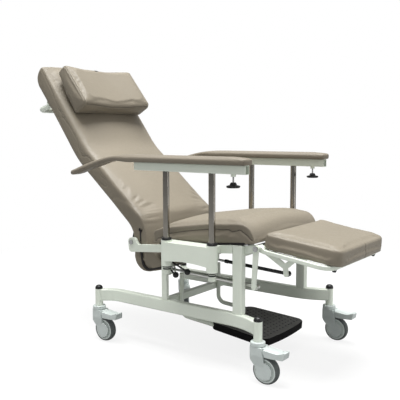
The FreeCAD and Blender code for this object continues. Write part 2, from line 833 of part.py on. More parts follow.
def seat_outline(share):
    t = abs(share)
    drop = SEAT_CROWN * t ** 2 + SEAT_EDGE * edge_round(t)
    tuck = SEAT_EDGE * 0.6 * edge_round(t)
    nose = -SEAT_NOSE - SEAT_CORNER * t ** 8
    heel = -SEAT_BACK + SEAT_CORNER * 0.5 * t ** 8
    crown = SEAT_CROWN - drop
    return [
        (heel, board_high + tuck, 8.0),
        (nose, board_high + tuck, 8.0),
        (nose, board_high + SEAT_FRONT_H + crown, SEAT_FRONT_ROUND),
        (heel, board_high + SEAT_REAR_H + crown, SEAT_REAR_ROUND),
    ]


keep("seat_cushion", on_seat(lofted(seat_outline, SEAT_HALF)))


# Leg rest: pad, board, bent tube frame and the elbow plate that its gas spring pushes on
def leg_outline(share):
    t = abs(share)
    drop = LEG_CROWN * t ** 2 + LEG_EDGE * edge_round(t)
    tuck = LEG_EDGE * 0.6 * edge_round(t)
    nose = LEG_LENGTH - LEG_CORNER * t ** 8
    heel = LEG_START + LEG_EDGE * t ** 8
    crown = LEG_CROWN - drop
    low = LEG_BOARD_T + tuck
    return [
        (heel, low, 8.0),
        (nose - 8.0, low, 10.0),
        (nose, LEG_BOARD_T + LEG_PAD_H + crown, LEG_NOSE_ROUND),
        (heel, LEG_BOARD_T + LEG_PAD_H + crown, LEG_ROUND),
    ]


keep("leg_cushion", on_leg(lofted(leg_outline, LEG_HALF)))
leg_edge = LEG_HALF - LEG_BOARD_INSET
LUG_END = LEG_LUG_R * 2.6
leg_board = plan_plate(
    [
        (LUG_END, -leg_edge, 8.0),
        (LEG_LENGTH - LEG_BOARD_INSET, -leg_edge, LEG_TUBE_BEND),
        (LEG_LENGTH - LEG_BOARD_INSET, leg_edge, LEG_TUBE_BEND),
        (LUG_END, leg_edge, 8.0),
    ],
    0,
    LEG_BOARD_T,
)
keep("leg_board", on_leg(leg_board))


def leg_frame():
    mid = LEG_TUBE_OUT - LEG_TUBE_W / 2
    z = -LEG_TUBE_H / 2
    start = LUG_END - 6.0
    corners = [
        V(start, -mid, z),
        V(LEG_TUBE_END, -mid, z),
        V(LEG_TUBE_END, mid, z),
        V(start, mid, z),
    ]
    path = rounded(corners, [0, LEG_TUBE_BEND, LEG_TUBE_BEND, 0], False)
    profile = block_wire(corners[0], ACROSS, UP, LEG_TUBE_W / 2, LEG_TUBE_H / 2, 3.0)
    pieces = [swept(path, profile)]
    for side in (RIGHT, LEFT):
        y0, y1 = span(side, LEG_TUBE_IN, LEG_TUBE_OUT)
        pieces.append(link_plate((0, 0), LEG_LUG_R, (start, z), LEG_TUBE_H / 2 - 1.0, y0, y1))
    y0, y1 = span(RIGHT, STRUT_PLATE_IN, LEG_TUBE_IN)
    pieces.append(link_plate((0, 0), LEG_LUG_R, STRUT_ELBOW, 10.0, y0, y1))
    pieces.append(link_plate(STRUT_ELBOW, 10.0, STRUT_TOP, 9.5, y0, y1))
    pieces.append(link_plate(STRUT_ELBOW, 9.5, STRUT_PIN, 9.0, y0, y1))
    y0, y1 = span(RIGHT, LEG_SPRING_Y - SPRING_EYE_W / 2 - 4.0, LEG_TUBE_IN)
    pieces.append(rod_y(STRUT_PIN[0], STRUT_PIN[1], SPRING_PIN_D / 2, y0, y1))
    frame = fused(pieces)
    return frame.cut(rod_y(0, 0, PIVOT_R + RUN, -RAIL_OUT, RAIL_OUT))


keep("leg_frame", on_leg(leg_frame()))
feet = []
for side in (RIGHT, LEFT):
    y = side * (LEG_TUBE_OUT - LEG_TUBE_BEND - FOOT_R)
    cone = Part.makeCone(FOOT_R * 0.7, FOOT_R, FOOT_H, V(LEG_TUBE_END, y, -LEG_TUBE_H - FOOT_H), UP)
    feet.append(on_leg(cone))
keep("leg_feet", *feet)


# Backrest, built about its own pivot
def toward(a, b, distance):
    """Point at a distance from one corner on the way to another."""
    length = math.hypot(b[0] - a[0], b[1] - a[1])
    return (a[0] + (b[0] - a[0]) * distance / length, a[1] + (b[1] - a[1]) * distance / length)


def unit(a, b):
    length = math.hypot(b[0] - a[0], b[1] - a[1])
    return ((b[0] - a[0]) / length, (b[1] - a[1]) / length)


BACK_UP = unit(BACK_FRONT_BEND, BACK_TOP_FRONT)
BACK_FACE = (BACK_UP[1], -BACK_UP[0])


def shifted(corner, along, amount):
    """A corner moved along a direction, with its radius if it has one."""
    return (corner[0] + along[0] * amount, corner[1] + along[1] * amount) + tuple(corner[2:])


def back_outline(share):
    t = abs(share)
    front = BACK_CROWN * (1 - t ** 2) - BACK_EDGE * edge_round(t)
    low = -BACK_EDGE * 0.5 * edge_round(t)
    rear = BACK_REAR_EDGE * edge_round(t)
    top = -BACK_TOP_CORNER * edge_round(t)
    top_rear = shifted(shifted(BACK_TOP_REAR, BACK_FACE, rear), BACK_UP, top)
    top_front = shifted(shifted(BACK_TOP_FRONT, BACK_FACE, front), BACK_UP, top)
    depth = math.hypot(top_front[0] - top_rear[0], top_front[1] - top_rear[1])
    return [
        BACK_TOE,
        BACK_HEEL,
        BACK_WAIST,
        shifted(BACK_BEND, BACK_FACE, rear),
        top_rear + (depth * BACK_TOP_REAR_SHARE,),
        top_front + (depth * BACK_TOP_FRONT_SHARE,),
        shifted(BACK_FRONT_BEND, BACK_FACE, front),
        shifted(BACK_LAP, BACK_FACE, front),
        shifted(BACK_KNEE, BACK_FACE, low),
        shifted(BACK_TOE_TOP, (0.0, 1.0), low),
    ]


def board_path(offset):
    """Corners of the core board's line, moved forward by an offset."""
    lead = unit(BACK_WAIST, BACK_BEND)
    lower = (lead[1], -lead[0])
    waist = shifted(BACK_WAIST, lower, BOARD_WAIST_SKIN + offset)
    bend = shifted(BACK_BEND, BACK_FACE, BOARD_SKIN + offset)
    bend = shifted(bend, BACK_UP, -6.0)
    top = shifted(BACK_TOP_REAR, BACK_FACE, BOARD_SKIN + offset)
    top = shifted(top, BACK_UP, -BOARD_TOP_INSET)
    toe = unit(BOARD_TOE, BOARD_HEEL)
    return [
        (BOARD_TOE[0] + toe[1] * offset, BOARD_TOE[1] - toe[0] * offset, 0),
        (BOARD_HEEL[0] + offset, BOARD_HEEL[1] + offset, BOARD_HEEL[2] - offset),
        (BOARD_RISE[0] + offset, BOARD_RISE[1], BOARD_RISE[2]),
        (waist[0], waist[1], 80.0),
        (bend[0], bend[1], 440.0),
        (top[0], top[1], 0),
    ]


def region(near, far):
    """Side view band between two open lines that run the same way, as a wide plate."""
    wide = 2 * BACK_HALF
    first = side_wire(near, -wide, False)
    second = side_wire(far, -wide, False)
    a0 = V(near[0][0], -wide, near[0][1])
    a1 = V(near[-1][0], -wide, near[-1][1])
    b0 = V(far[0][0], -wide, far[0][1])
    b1 = V(far[-1][0], -wide, far[-1][1])
    edges = first.Edges + [Part.LineSegment(a1, b1).toShape()]
    edges = edges + second.Edges + [Part.LineSegment(b0, a0).toShape()]
    wire = Part.Wire(Part.__sortEdges__(edges))
    return Part.Face(wire).extrude(V(0, 2 * wide, 0))


back_full = lofted(back_outline, BACK_HALF)
rear_face = board_path(0.0)
front_face = board_path(BACK_BOARD_T)
back_board = region(rear_face, front_face).common(back_full)
for side in (RIGHT, LEFT):
    y0, y1 = span(side, BACK_HALF - BOARD_DRAWN_IN, 2 * BACK_HALF)
    x0 = 2 * BACK_TOP_REAR[0]
    back_board = back_board.cut(box(x0, BACK_TOE[0], y0, y1, BACK_WAIST[1], 2 * BACK_TOP_FRONT[1]))
beyond = 3 * BOARD_SKIN
panel_line = [
    (BACK_TOE[0] + beyond, BACK_TOE[1] - beyond, 0),
    (BACK_HEEL[0] - beyond, BACK_HEEL[1] - beyond, 0),
    (BACK_WAIST[0] - beyond, BACK_WAIST[1], 0),
    (BACK_BEND[0] - beyond, BACK_BEND[1] - beyond, 0),
    (rear_face[-1][0] - BACK_FACE[0] * beyond, rear_face[-1][1] - BACK_FACE[1] * beyond, 0),
]
panel_zone = region(rear_face, panel_line)
back_panel = back_full.common(panel_zone)
back_cushion = back_full.cut(panel_zone).cut(back_board)

hinges = []
for side in (RIGHT, LEFT):
    hinge_out = BACK_HALF - HINGE_COVER
    y0, y1 = span(side, hinge_out - HINGE_T, hinge_out)
    hinge = link_plate((0, 0), HINGE_R, HINGE_ARM, HINGE_R, y0, y1)
    y2, y3 = span(side, hinge_out - 2 * HINGE_T, BACK_HALF)
    room = rod_y(0, 0, PIVOT_R + 2.0, y2, y3)
    back_panel = back_panel.cut(hinge).cut(room)
    back_board = back_board.cut(hinge).cut(room)
    back_cushion = back_cushion.cut(hinge).cut(room)
    hinges.append(hinge.cut(rod_y(0, 0, PIVOT_R + RUN, y0, y1)))


def slotted_cheek(points, radius, centre, slot, y0, y1):
    """Flat lug with a slot that leaves its pin room to wander."""
    plate = link_plate(points[0], radius, points[1], radius, y0, y1)
    half_x = slot[0] + SPRING_PIN_D / 2 + SLOT_PLAY
    half_z = slot[1] + SPRING_PIN_D / 2 + SLOT_PLAY
    edge = SPRING_PIN_D / 2 + SLOT_PLAY
    corners = [
        (centre[0] - half_x, centre[1] - half_z, edge),
        (centre[0] + half_x, centre[1] - half_z, edge),
        (centre[0] + half_x, centre[1] + half_z, edge),
        (centre[0] - half_x, centre[1] + half_z, edge),
    ]
    return plate.cut(side_plate(corners, y0, y1))


# Clevis at the toe of the backrest for the eye of its gas spring
slot_mid = (BACK_SPRING_END[0] + BACK_SLOT_SHIFT[0], BACK_SPRING_END[1] + BACK_SLOT_SHIFT[1])
cheek_in = SPRING_EYE_W / 2 + CHEEK_GAP
cheek_out = cheek_in + CHEEK_T
toe_x = BACK_TOE[0]
toe_mid = (BACK_TOE[1] + BACK_TOE_TOP[1]) / 2
pad_y0, pad_y1 = span(RIGHT, BACK_SPRING_Y - cheek_out, BACK_SPRING_Y + cheek_out)
clevis = [box(toe_x, toe_x + CHEEK_T, pad_y0, pad_y1, toe_mid - 12.0, toe_mid + 9.0)]
for inner in (BACK_SPRING_Y - cheek_out, BACK_SPRING_Y + cheek_in):
    y0, y1 = span(RIGHT, inner, inner + CHEEK_T)
    reach = max(BACK_SLOT) + SPRING_PIN_D / 2 + SLOT_PLAY + SLOT_WALL
    lug = slotted_cheek([(toe_x, toe_mid), slot_mid], reach, slot_mid, BACK_SLOT, y0, y1)
    clevis.append(lug.cut(box(toe_x - 3 * reach, toe_x, y0, y1, toe_mid - 3 * reach, toe_mid + 3 * reach)))
spring_clevis = fused(clevis)


def on_back(shape):
    return put(shape, 0.0, BACK_PIVOT_X, BACK_PIVOT_Z)


keep("back_cushion", on_back(back_cushion))
keep("back_board", on_back(back_board))
keep("back_panel", on_back(back_panel))
keep("back_brackets", *[on_back(piece) for piece in hinges + [spring_clevis]])


# Head pillow lying on the upper face, and the straps that hold it over the top
def face_point(along, out):
    """Point on the upper front face: distance up from its bend, and out from it."""
    start = toward(BACK_FRONT_BEND, BACK_TOP_FRONT, along)
    return (start[0] + BACK_FACE[0] * out, start[1] + BACK_FACE[1] * out)


def pillow_outline(share):
    t = abs(share)
    dip = PILLOW_DIP * (1 - t ** 2) ** 2
    pinch = PILLOW_EDGE * edge_round(t)
    low = PILLOW_START + pinch
    high = PILLOW_START + PILLOW_LENGTH - pinch
    base = BACK_CROWN + pinch
    crest = BACK_CROWN - dip - pinch
    middle = (low + high) / 2
    return [
        face_point(low, base) + (PILLOW_ROUND * 0.7,),
        face_point(low - PILLOW_DROOP, crest + PILLOW_LOW_T) + (PILLOW_ROUND * 1.1,),
        face_point(high, crest + PILLOW_HIGH_T) + (PILLOW_ROUND,),
        face_point(high, base + PILLOW_LIFT) + (PILLOW_ROUND * 0.7,),
        face_point(middle, base) + (PILLOW_ROUND * 3,),
    ]


pillow = lofted(pillow_outline, PILLOW_HALF)
keep("back_pillow", on_back(pillow))


def strap(y):
    share = (y - STRAP_W / 2) / BACK_HALF
    outline = back_outline(share)
    top_front = outline[5]
    top_rear = outline[4]
    bend_rear = outline[3]
    lead = toward(outline[6], top_front, PILLOW_START + PILLOW_LENGTH / 2)
    tail = toward(top_rear, bend_rear, STRAP_TAIL)
    over = unit(top_rear, top_front)
    crest = (-over[1], over[0])

    def line(rise):
        """The strap's run over the top, lifted off the outline."""
        ends = [shifted(lead, BACK_FACE, rise), shifted(tail, BACK_FACE, -rise)]
        front = shifted(shifted(top_front, BACK_FACE, rise), crest, rise)
        back = shifted(shifted(top_rear, BACK_FACE, -rise), crest, rise)
        return [
            ends[0] + (0,),
            (front[0], front[1], top_front[2] + rise),
            (back[0], back[1], top_rear[2] + rise),
            ends[1] + (0,),
        ]

    inner = line(-STRAP_SINK)
    outer = line(STRAP_T)
    low = y - STRAP_W / 2
    edges = side_wire(inner, low, False).Edges + side_wire(outer, low, False).Edges
    for i in (0, -1):
        p = V(inner[i][0], low, inner[i][1])
        q = V(outer[i][0], low, outer[i][1])
        edges.append(Part.LineSegment(p, q).toShape())
    band = Part.Face(Part.Wire(Part.__sortEdges__(edges))).extrude(V(0, STRAP_W, 0))
    return band.cut(back_full).cut(pillow)


one_strap = on_back(strap(STRAP_Y))
keep("pillow_straps", one_strap, mirrored(one_strap))

# Push handle across the rear face
rear_up = unit(BACK_BEND, BACK_TOP_REAR)
rear_out = (-rear_up[1], rear_up[0])
root = toward(BACK_TOP_REAR, BACK_BEND, HANDLE_DOWN)
knee = (root[0] + rear_out[0] * HANDLE_STUB, root[1] + rear_out[1] * HANDLE_STUB)
level = turned(-HANDLE_REACH, 0, HANDLE_DIP)
grip = (knee[0] + level[0], knee[1] + level[1])
handle = [
    round_tube(
        [
            V(root[0], -HANDLE_HALF, root[1]),
            V(knee[0], -HANDLE_HALF, knee[1]),
            V(grip[0], -HANDLE_HALF, grip[1]),
            V(grip[0], HANDLE_HALF, grip[1]),
            V(knee[0], HANDLE_HALF, knee[1]),
            V(root[0], HANDLE_HALF, root[1]),
        ],
        [0, HANDLE_KNEE, HANDLE_BEND, HANDLE_BEND, HANDLE_KNEE, 0],
        HANDLE_D,
    )
]
for side in (RIGHT, LEFT):
    place = V(root[0], side * HANDLE_HALF, root[1])
    way = V(rear_out[0], 0, rear_out[1])
    handle.append(Part.makeCylinder(HANDLE_FLANGE_R, HANDLE_FLANGE_T, place, way))
keep("push_handle", on_back(fused(handle)))


# Arms: posts that slide in the housings, an open rail, a long pad and a clamp knob
def arm_rail(side):
    y = side * ARM_Y
    high = ARM_RAIL_LOW + ARM_RAIL_H
    middle = ARM_RAIL_LOW + ARM_RAIL_H / 2
    start = V(ARM_RAIL_REAR, y, middle)
    run = V(ARM_RAIL_FRONT - ARM_RAIL_REAR, 0, 0)
    outer = Part.Face(block_wire(start, ACROSS, UP, ARM_RAIL_W / 2, ARM_RAIL_H / 2, ARM_RAIL_EDGE)).extrude(run)
    half_w = ARM_RAIL_W / 2 - ARM_RAIL_WALL
    half_h = ARM_RAIL_H / 2 - ARM_RAIL_WALL
    core_start = V(ARM_RAIL_REAR + ARM_RAIL_WALL, y, middle)
    core_edge = ARM_RAIL_EDGE - ARM_RAIL_WALL
    core = Part.Face(block_wire(core_start, ACROSS, UP, half_w, half_h, core_edge)).extrude(run)
    knob_x = ARM_RAIL_FRONT - KNOB_BACK
    nut = rod_z(knob_x, y, KNOB_NUT_R, ARM_RAIL_LOW - KNOB_NUT_H, ARM_RAIL_LOW)
    hole = rod_z(knob_x, y, KNOB_STUD_D / 2 + RUN, ARM_RAIL_LOW - KNOB_NUT_H, middle)
    return fused([outer.cut(core), nut]).cut(hole)


def arm_posts(side):
    y = side * ARM_Y
    posts = []
    for x in (ARM_POST_REAR, ARM_POST_FRONT):
        posts.append(rod_z(x, y, ARM_POST_D / 2, ARM_POST_LOW, ARM_RAIL_LOW))
    return posts


def pad_section(x, low, high, half, y):
    """Cross section of the arm pad: flat underside, round shoulders, slightly domed top."""
    rise = high - low
    shoulder = half * 0.72
    a = V(x, y - shoulder, low)
    b = V(x, y + shoulder, low)
    c = V(x, y + half, low + rise * 0.45)
    d = V(x, y + shoulder, high - rise * 0.06)
    e = V(x, y, high)
    f = V(x, y - shoulder, high - rise * 0.06)
    g = V(x, y - half, low + rise * 0.45)
    return Part.Wire([
        Part.LineSegment(a, b).toShape(),
        Part.Arc(b, c, d).toShape(),
        Part.Arc(d, e, f).toShape(),
        Part.Arc(f, g, a).toShape(),
    ])


def arm_pad(side):
    y = side * ARM_Y
    low = ARM_RAIL_LOW + ARM_RAIL_H
    high = low + ARM_PAD_T
    nose = ARM_RAIL_FRONT + ARM_NOSE_OVER
    tail = ARM_RAIL_REAR
    front = [
        (nose, low + ARM_PAD_T * 0.3, high - ARM_PAD_T * 0.34, ARM_PAD_HALF * 0.3),
        (nose - ARM_NOSE_OVER / 3, low + ARM_PAD_T * 0.12, high - ARM_PAD_T * 0.13, ARM_PAD_HALF * 0.62),
        (ARM_RAIL_FRONT, low, high - 0.5, ARM_PAD_HALF * 0.86),
    ]
    over = [
        front[-1],
        (ARM_RAIL_FRONT - ARM_NOSE_RUN, low, high, ARM_PAD_HALF),
        (tail, low, high, ARM_PAD_HALF),
    ]
    back = [over[-1]]
    for reach, under, upper, share in zip(ARM_TAIL_BACK, ARM_TAIL_UNDER, ARM_TAIL_OVER, ARM_TAIL_SHARES):
        back.append((tail - reach, low + under, high + upper, ARM_PAD_HALF * share))
    middle = Part.makeLoft([pad_section(*s, y) for s in over], True, True)
    tip = Part.makeLoft([pad_section(*s, y) for s in front], True, False)
    rear = Part.makeLoft([pad_section(*s, y) for s in back], True, False)
    return middle.multiFuse([tip, rear])


def clamp_knob(side):
    y = side * ARM_Y
    x = ARM_RAIL_FRONT - KNOB_BACK
    top = ARM_RAIL_LOW - KNOB_NUT_H - KNOB_NECK
    hub_low = top - KNOB_HUB_H
    low = hub_low - KNOB_H
    profile = [
        (0, low, 0),
        (KNOB_R - KNOB_BEVEL, low, 0),
        (KNOB_R, low + KNOB_BEVEL, 0),
        (KNOB_R, hub_low - KNOB_BEVEL, 0),
        (KNOB_HUB_R, hub_low, 0),
        (KNOB_HUB_R, hub_low + KNOB_BEVEL, 0),
        (KNOB_HUB_R * 0.7, top, 0),
        (0, top, 0),
    ]
    knob = spun(side_wire(profile, 0), V(0, 0, 0), UP)
    for i in range(KNOB_LOBES):
        turn = 2 * math.pi * (i + 0.5) / KNOB_LOBES
        reach = KNOB_R * 1.16
        knob = knob.cut(rod_z(reach * math.cos(turn), reach * math.sin(turn), KNOB_R * 0.3, low, hub_low + 2.0))
    stud_top = ARM_RAIL_LOW + ARM_RAIL_WALL + 4.0
    stud = rod_z(0, 0, KNOB_STUD_D / 2, top, stud_top)
    piece = Part.makeCompound([knob, stud])
    piece.translate(V(x, y, 0))
    return piece


def arm_housing(side):
    plate_out = ARM_Y + SLEEVE_D / 2 - 0.3
    plate_in = plate_out - HOUSING_T
    y0, y1 = span(side, plate_in, plate_out)
    x0 = ARM_POST_REAR
    x1 = ARM_POST_FRONT
    middle = (x0 + x1) / 2
    arch = Part.Arc(V(x1, y0, HOUSING_LOW), V(middle, y0, HOUSING_LOW + HOUSING_ARCH), V(x0, y0, HOUSING_LOW))
    edges = [
        arch.toShape(),
        Part.LineSegment(V(x0, y0, HOUSING_LOW), V(x0, y0, HOUSING_TOP)).toShape(),
        Part.LineSegment(V(x0, y0, HOUSING_TOP), V(x1, y0, HOUSING_TOP)).toShape(),
        Part.LineSegment(V(x1, y0, HOUSING_TOP), V(x1, y0, HOUSING_LOW)).toShape(),
    ]
    pieces = [Part.Face(Part.Wire(edges)).extrude(V(0, y1 - y0, 0))]
    t0, t1 = span(side, RAIL_OUT, plate_out)
    pieces.append(box(x0, x1, t0, t1, HOUSING_TOP - HOUSING_T, HOUSING_TOP))
    bores = []
    for x in (x0, x1):
        y = side * ARM_Y
        pieces.append(rod_z(x, y, SLEEVE_D / 2, SLEEVE_LOW, SLEEVE_TOP))
        bores.append(rod_z(x, y, BUSH_D / 2, SLEEVE_LOW, SLEEVE_TOP))
        w0, w1 = span(side, RAIL_OUT, ARM_Y)
        web_low = seat_line(x, -SEAT_RAIL_H / 2) + 4.0
        pieces.append(box(x - WEB_T / 2, x + WEB_T / 2, w0, w1, web_low, HOUSING_TOP))
    housing = fused(pieces)
    for bore in bores:
        housing = housing.cut(bore)
    return housing


def bush(x, y, top):
    """Flanged plastic guide, collar up at the sleeve's top or ring down at its bottom."""
    if top:
        face = SLEEVE_TOP
        stub = rod_z(x, y, BUSH_D / 2, face - BUSH_LENGTH, face)
        flange = rod_z(x, y, COLLAR_D / 2, face, face + COLLAR_H)
    else:
        face = SLEEVE_LOW
        stub = rod_z(x, y, BUSH_D / 2, face, face + BUSH_LENGTH)
        flange = rod_z(x, y, RING_D / 2, face - RING_H, face)
    bore = rod_z(x, y, ARM_POST_D / 2 + RUN, SLEEVE_LOW - BUSH_LENGTH, SLEEVE_TOP + BUSH_LENGTH)
    return fused([stub, flange]).cut(bore)


bushes = []
for name, side in (("right", RIGHT), ("left", LEFT)):
    keep("arm_rail_" + name, arm_rail(side))
    keep("arm_posts_" + name, *arm_posts(side))
    keep("arm_pad_" + name, arm_pad(side))
    keep("clamp_knob_" + name, clamp_knob(side))
    keep("arm_housing_" + name, arm_housing(side))
    for x in (ARM_POST_REAR, ARM_POST_FRONT):
        for top in (True, False):
            bushes.append(bush(x, side * ARM_Y, top))
keep("arm_bushes", *bushes)


# Footplate: a shallow tray on two bent tubes, sloped down to the front
def footplate_place(shape):
    return put(shape, -FOOTPLATE_SLOPE, FOOTPLATE_REAR, FOOTPLATE_Z)


def tray(inset, low, high):
    half = FOOTPLATE_W / 2 - inset
    front = FOOTPLATE_FRONT_W / 2 - inset
    nose = FOOTPLATE_LENGTH - inset
    corner = FOOTPLATE_CORNER - inset
    a = V(inset, -half, low)
    b = V(nose - FOOTPLATE_BOW, -front, low)
    c = V(nose, 0, low)
    d = V(nose - FOOTPLATE_BOW, front, low)
    e = V(inset, half, low)
    bow = Part.Arc(b, c, d).toShape()
    edges = [
        bow,
        Part.LineSegment(d, e).toShape(),
        Part.LineSegment(e, a).toShape(),
        Part.LineSegment(a, b).toShape(),
    ]
    plate = Part.Face(Part.Wire(edges)).extrude(V(0, 0, high - low))
    uprights = [edge for edge in plate.Edges if abs(edge.tangentAt(edge.FirstParameter).z) > 0.99]
    return plate.makeFillet(corner, uprights)


foot_y = FOOT_TUBE_GAUGE / 2
tube_r = FOOT_TUBE_D / 2
run_depth = FOOTPLATE_SKIN + tube_r - FOOT_TUBE_SADDLE
foot_x = BASE_TUBE_X + BASE_TUBE_W / 2 + tube_r - FOOT_TUBE_SADDLE
slope = math.radians(FOOTPLATE_SLOPE)
line_z = FOOTPLATE_Z - run_depth / math.cos(slope)
corner_z = line_z - (foot_x - FOOTPLATE_REAR) * math.tan(slope)
reach_x = FOOTPLATE_REAR + FOOT_TUBE_REACH * math.cos(slope)
reach_z = line_z - (reach_x - FOOTPLATE_REAR) * math.tan(slope)
foot_tubes = []
for side in (RIGHT, LEFT):
    points = [
        V(foot_x, side * foot_y, FOOT_TUBE_TOP),
        V(foot_x, side * foot_y, corner_z),
        V(reach_x, side * foot_y, reach_z),
    ]
    foot_tubes.append(round_tube(points, [0, FOOT_TUBE_BEND, 0], FOOT_TUBE_D))
keep("footplate_frame", *foot_tubes)
for tube in foot_tubes:
    base_tube = base_tube.cut(tube)
keep("cross_tubes", base_tube, rear_tube, front_tube)
solid_tray = tray(0, -FOOTPLATE_DEPTH, 0)
top_edges = [edge for edge in solid_tray.Edges if edge.BoundBox.ZMin > -TINY]
solid_tray = solid_tray.makeFillet(3.0, top_edges)
hollow = tray(FOOTPLATE_RIM, -FOOTPLATE_DEPTH, -FOOTPLATE_SKIN)
footplate = footplate_place(solid_tray.cut(hollow))
for tube in foot_tubes:
    footplate = footplate.cut(tube)
keep("footplate", footplate)


# Gas springs: a cylinder with a bored gland, and a rod that slides in it
def spring(front, rear, y, thick, body, held):
    """Cylinder eyed at the front point and rod eyed at the rear point."""
    start = V(front[0], y, front[1])
    stop = V(rear[0], y, rear[1])
    way = stop - start
    length = way.Length
    way.normalize()
    eye_half = SPRING_EYE_W / 2
    pin_r = SPRING_PIN_D / 2
    tilt = math.degrees(math.atan2(way.z, way.x))
    mouth = body + GLAND_L
    bore_r = SPRING_ROD_D / 2 + RUN
    bore_end = SPRING_EYE_R * 2.2
    neck = min(eye_half, thick / 2) - 1.0
    profile = [
        (SPRING_EYE_R / 2, 0, 0),
        (SPRING_EYE_R / 2, neck, 0),
        (SPRING_EYE_R * 1.4, neck, 0),
        (SPRING_EYE_R * 1.4, thick / 2, 0),
        (body, thick / 2, 0),
        (body, thick / 2 + 1.0, 0),
        (mouth, thick / 2 + 1.0, 0),
        (mouth, bore_r, 0),
        (bore_end, bore_r, 0),
        (bore_end, 0, 0),
    ]
    barrel = spun(side_wire(profile, 0), V(0, 0, 0), V(1, 0, 0))
    barrel = put(barrel, tilt, front[0], front[1])
    barrel.translate(V(0, y, 0))
    eye = rod_y(front[0], front[1], SPRING_EYE_R, y - eye_half, y + eye_half)
    cylinder = barrel.fuse(eye).cut(rod_y(front[0], front[1], pin_r + RUN, y - eye_half, y + eye_half))
    inner = body + GLAND_L - held
    shoulder = length - ROD_HEAD - SPRING_EYE_R
    profile = [
        (inner, 0, 0),
        (inner, SPRING_ROD_D / 2, 0),
        (shoulder, SPRING_ROD_D / 2, 0),
        (shoulder, SPRING_ROD_D / 2 + 2.0, 0),
        (length, SPRING_ROD_D / 2 + 2.0, 0),
        (length, 0, 0),
    ]
    bar = spun(side_wire(profile, 0), V(0, 0, 0), V(1, 0, 0))
    bar = put(bar, tilt, front[0], front[1])
    bar.translate(V(0, y, 0))
    rod_eye = rod_y(rear[0], rear[1], SPRING_EYE_R, y - eye_half, y + eye_half)
    cross = eye_half + CHEEK_GAP + CHEEK_T + 1.0
    pin_ends = []
    for side in (RIGHT, LEFT):
        y0, y1 = span(side, eye_half, cross)
        pin_ends.append(rod_y(rear[0], rear[1], pin_r, y + y0, y + y1))
    return cylinder, bar.fuse(rod_eye).multiFuse(pin_ends)


back_pin = (LEG_PIVOT_X + BACK_SPRING_PIN[0], LEG_PIVOT_Z + BACK_SPRING_PIN[1])
back_end = (BACK_PIVOT_X + BACK_SPRING_END[0], BACK_PIVOT_Z + BACK_SPRING_END[1])
back_side = RIGHT * BACK_SPRING_Y
cylinder, rod = spring(back_pin, back_end, back_side, BACK_BARREL_D, BACK_SPRING_BODY, BACK_ROD_HELD)
keep("back_spring_cylinder", cylinder)
keep("back_spring_rod", rod)
strut_pin = turned(STRUT_PIN[0], STRUT_PIN[1], -LEG_TILT)
leg_pin = (LEG_PIVOT_X + strut_pin[0], LEG_PIVOT_Z + strut_pin[1])
leg_side = RIGHT * LEG_SPRING_Y
cylinder, rod = spring(leg_pin, LEG_SPRING_ANCHOR, leg_side, LEG_BARREL_D, LEG_SPRING_BODY, LEG_ROD_HELD)
keep("leg_spring_cylinder", cylinder)
keep("leg_spring_rod", rod)

# Fixed brackets: spring hanger, spring anchor, lever plate and rail gusset
brackets = []
y0, y1 = span(RIGHT, PLATE_OUT, HANGER_OUT)
hanger = link_plate((LEG_PIVOT_X, LEG_PIVOT_Z), HANGER_R + 2.0, back_pin, HANGER_R, y0, y1)
hanger = hanger.cut(rod_y(LEG_PIVOT_X, LEG_PIVOT_Z, PIVOT_R, y0, y1))
p0, p1 = span(RIGHT, BACK_SPRING_Y - SPRING_EYE_W / 2 - 4.0, HANGER_OUT)
brackets.append(fused([hanger, rod_y(back_pin[0], back_pin[1], SPRING_PIN_D / 2, p0, p1)]))
rail_right = NODES["seat_rail_right"]
anchor = LEG_SPRING_ANCHOR
anchor_reach = max(LEG_SLOT) + SPRING_PIN_D / 2 + SLOT_PLAY + SLOT_WALL
tube_x = LEG_PIVOT_X + REAR_TUBE_U * math.cos(math.radians(SEAT_TILT))
tube_z = seat_line(tube_x, 0)
for inner in (LEG_SPRING_Y - cheek_out, LEG_SPRING_Y + cheek_in):
    y0, y1 = span(RIGHT, inner, inner + CHEEK_T)
    top = (tube_x, tube_z)
    lug = slotted_cheek([top, anchor], anchor_reach, anchor, LEG_SLOT, y0, y1)
    trimmed = lug.cut(on_seat(box(REAR_TUBE_U - 4 * anchor_reach, REAR_TUBE_U, y0, y1, -RAIL_H, RAIL_H)))
    trimmed = trimmed.cut(on_seat(box(-EAR_BACK, 0, y0, y1, board_low, RAIL_H)))
    trimmed = trimmed.cut(rear_tube)
    brackets.append(max(trimmed.Solids, key=lambda solid: solid.Volume))
y0, y1 = span(RIGHT, RAIL_OUT - LEVER_PLATE_T, RAIL_OUT)
hang = (LEVER_PIVOT[0], seat_line(LEVER_PIVOT[0], 0))
lever_plate = link_plate(hang, LEVER_PLATE_R + 5.0, LEVER_PIVOT, LEVER_PLATE_R, y0, y1)
lever_plate = lever_plate.cut(on_seat(box(-EAR_BACK, 0, y0, y1, -SEAT_RAIL_H / 2, 2 * RAIL_H)))
lever_plate = lever_plate.cut(rod_y(LEVER_PIVOT[0], LEVER_PIVOT[1], LEVER_PIN_D / 2, y0, y1))
brackets.append(lever_plate)
y0, y1 = span(RIGHT, SEAT_RAIL_IN + 1.0, SEAT_RAIL_IN + 1.0 + GUSSET_T)
gusset_top = seat_line(GUSSET_X, -SEAT_RAIL_H / 2) + 2.0 * GUSSET_T
gusset = side_plate(
    [
        (GUSSET_X - GUSSET_W / 2, gusset_top, 0),
        (GUSSET_X + GUSSET_W / 2, gusset_top, 0),
        (GUSSET_X + GUSSET_W / 2, gusset_top - GUSSET_DROP * 0.55, 6.0),
        (GUSSET_X - GUSSET_W / 2, gusset_top - GUSSET_DROP - 2.0 * GUSSET_T, 4.0),
    ],
    y0,
    y1,
)
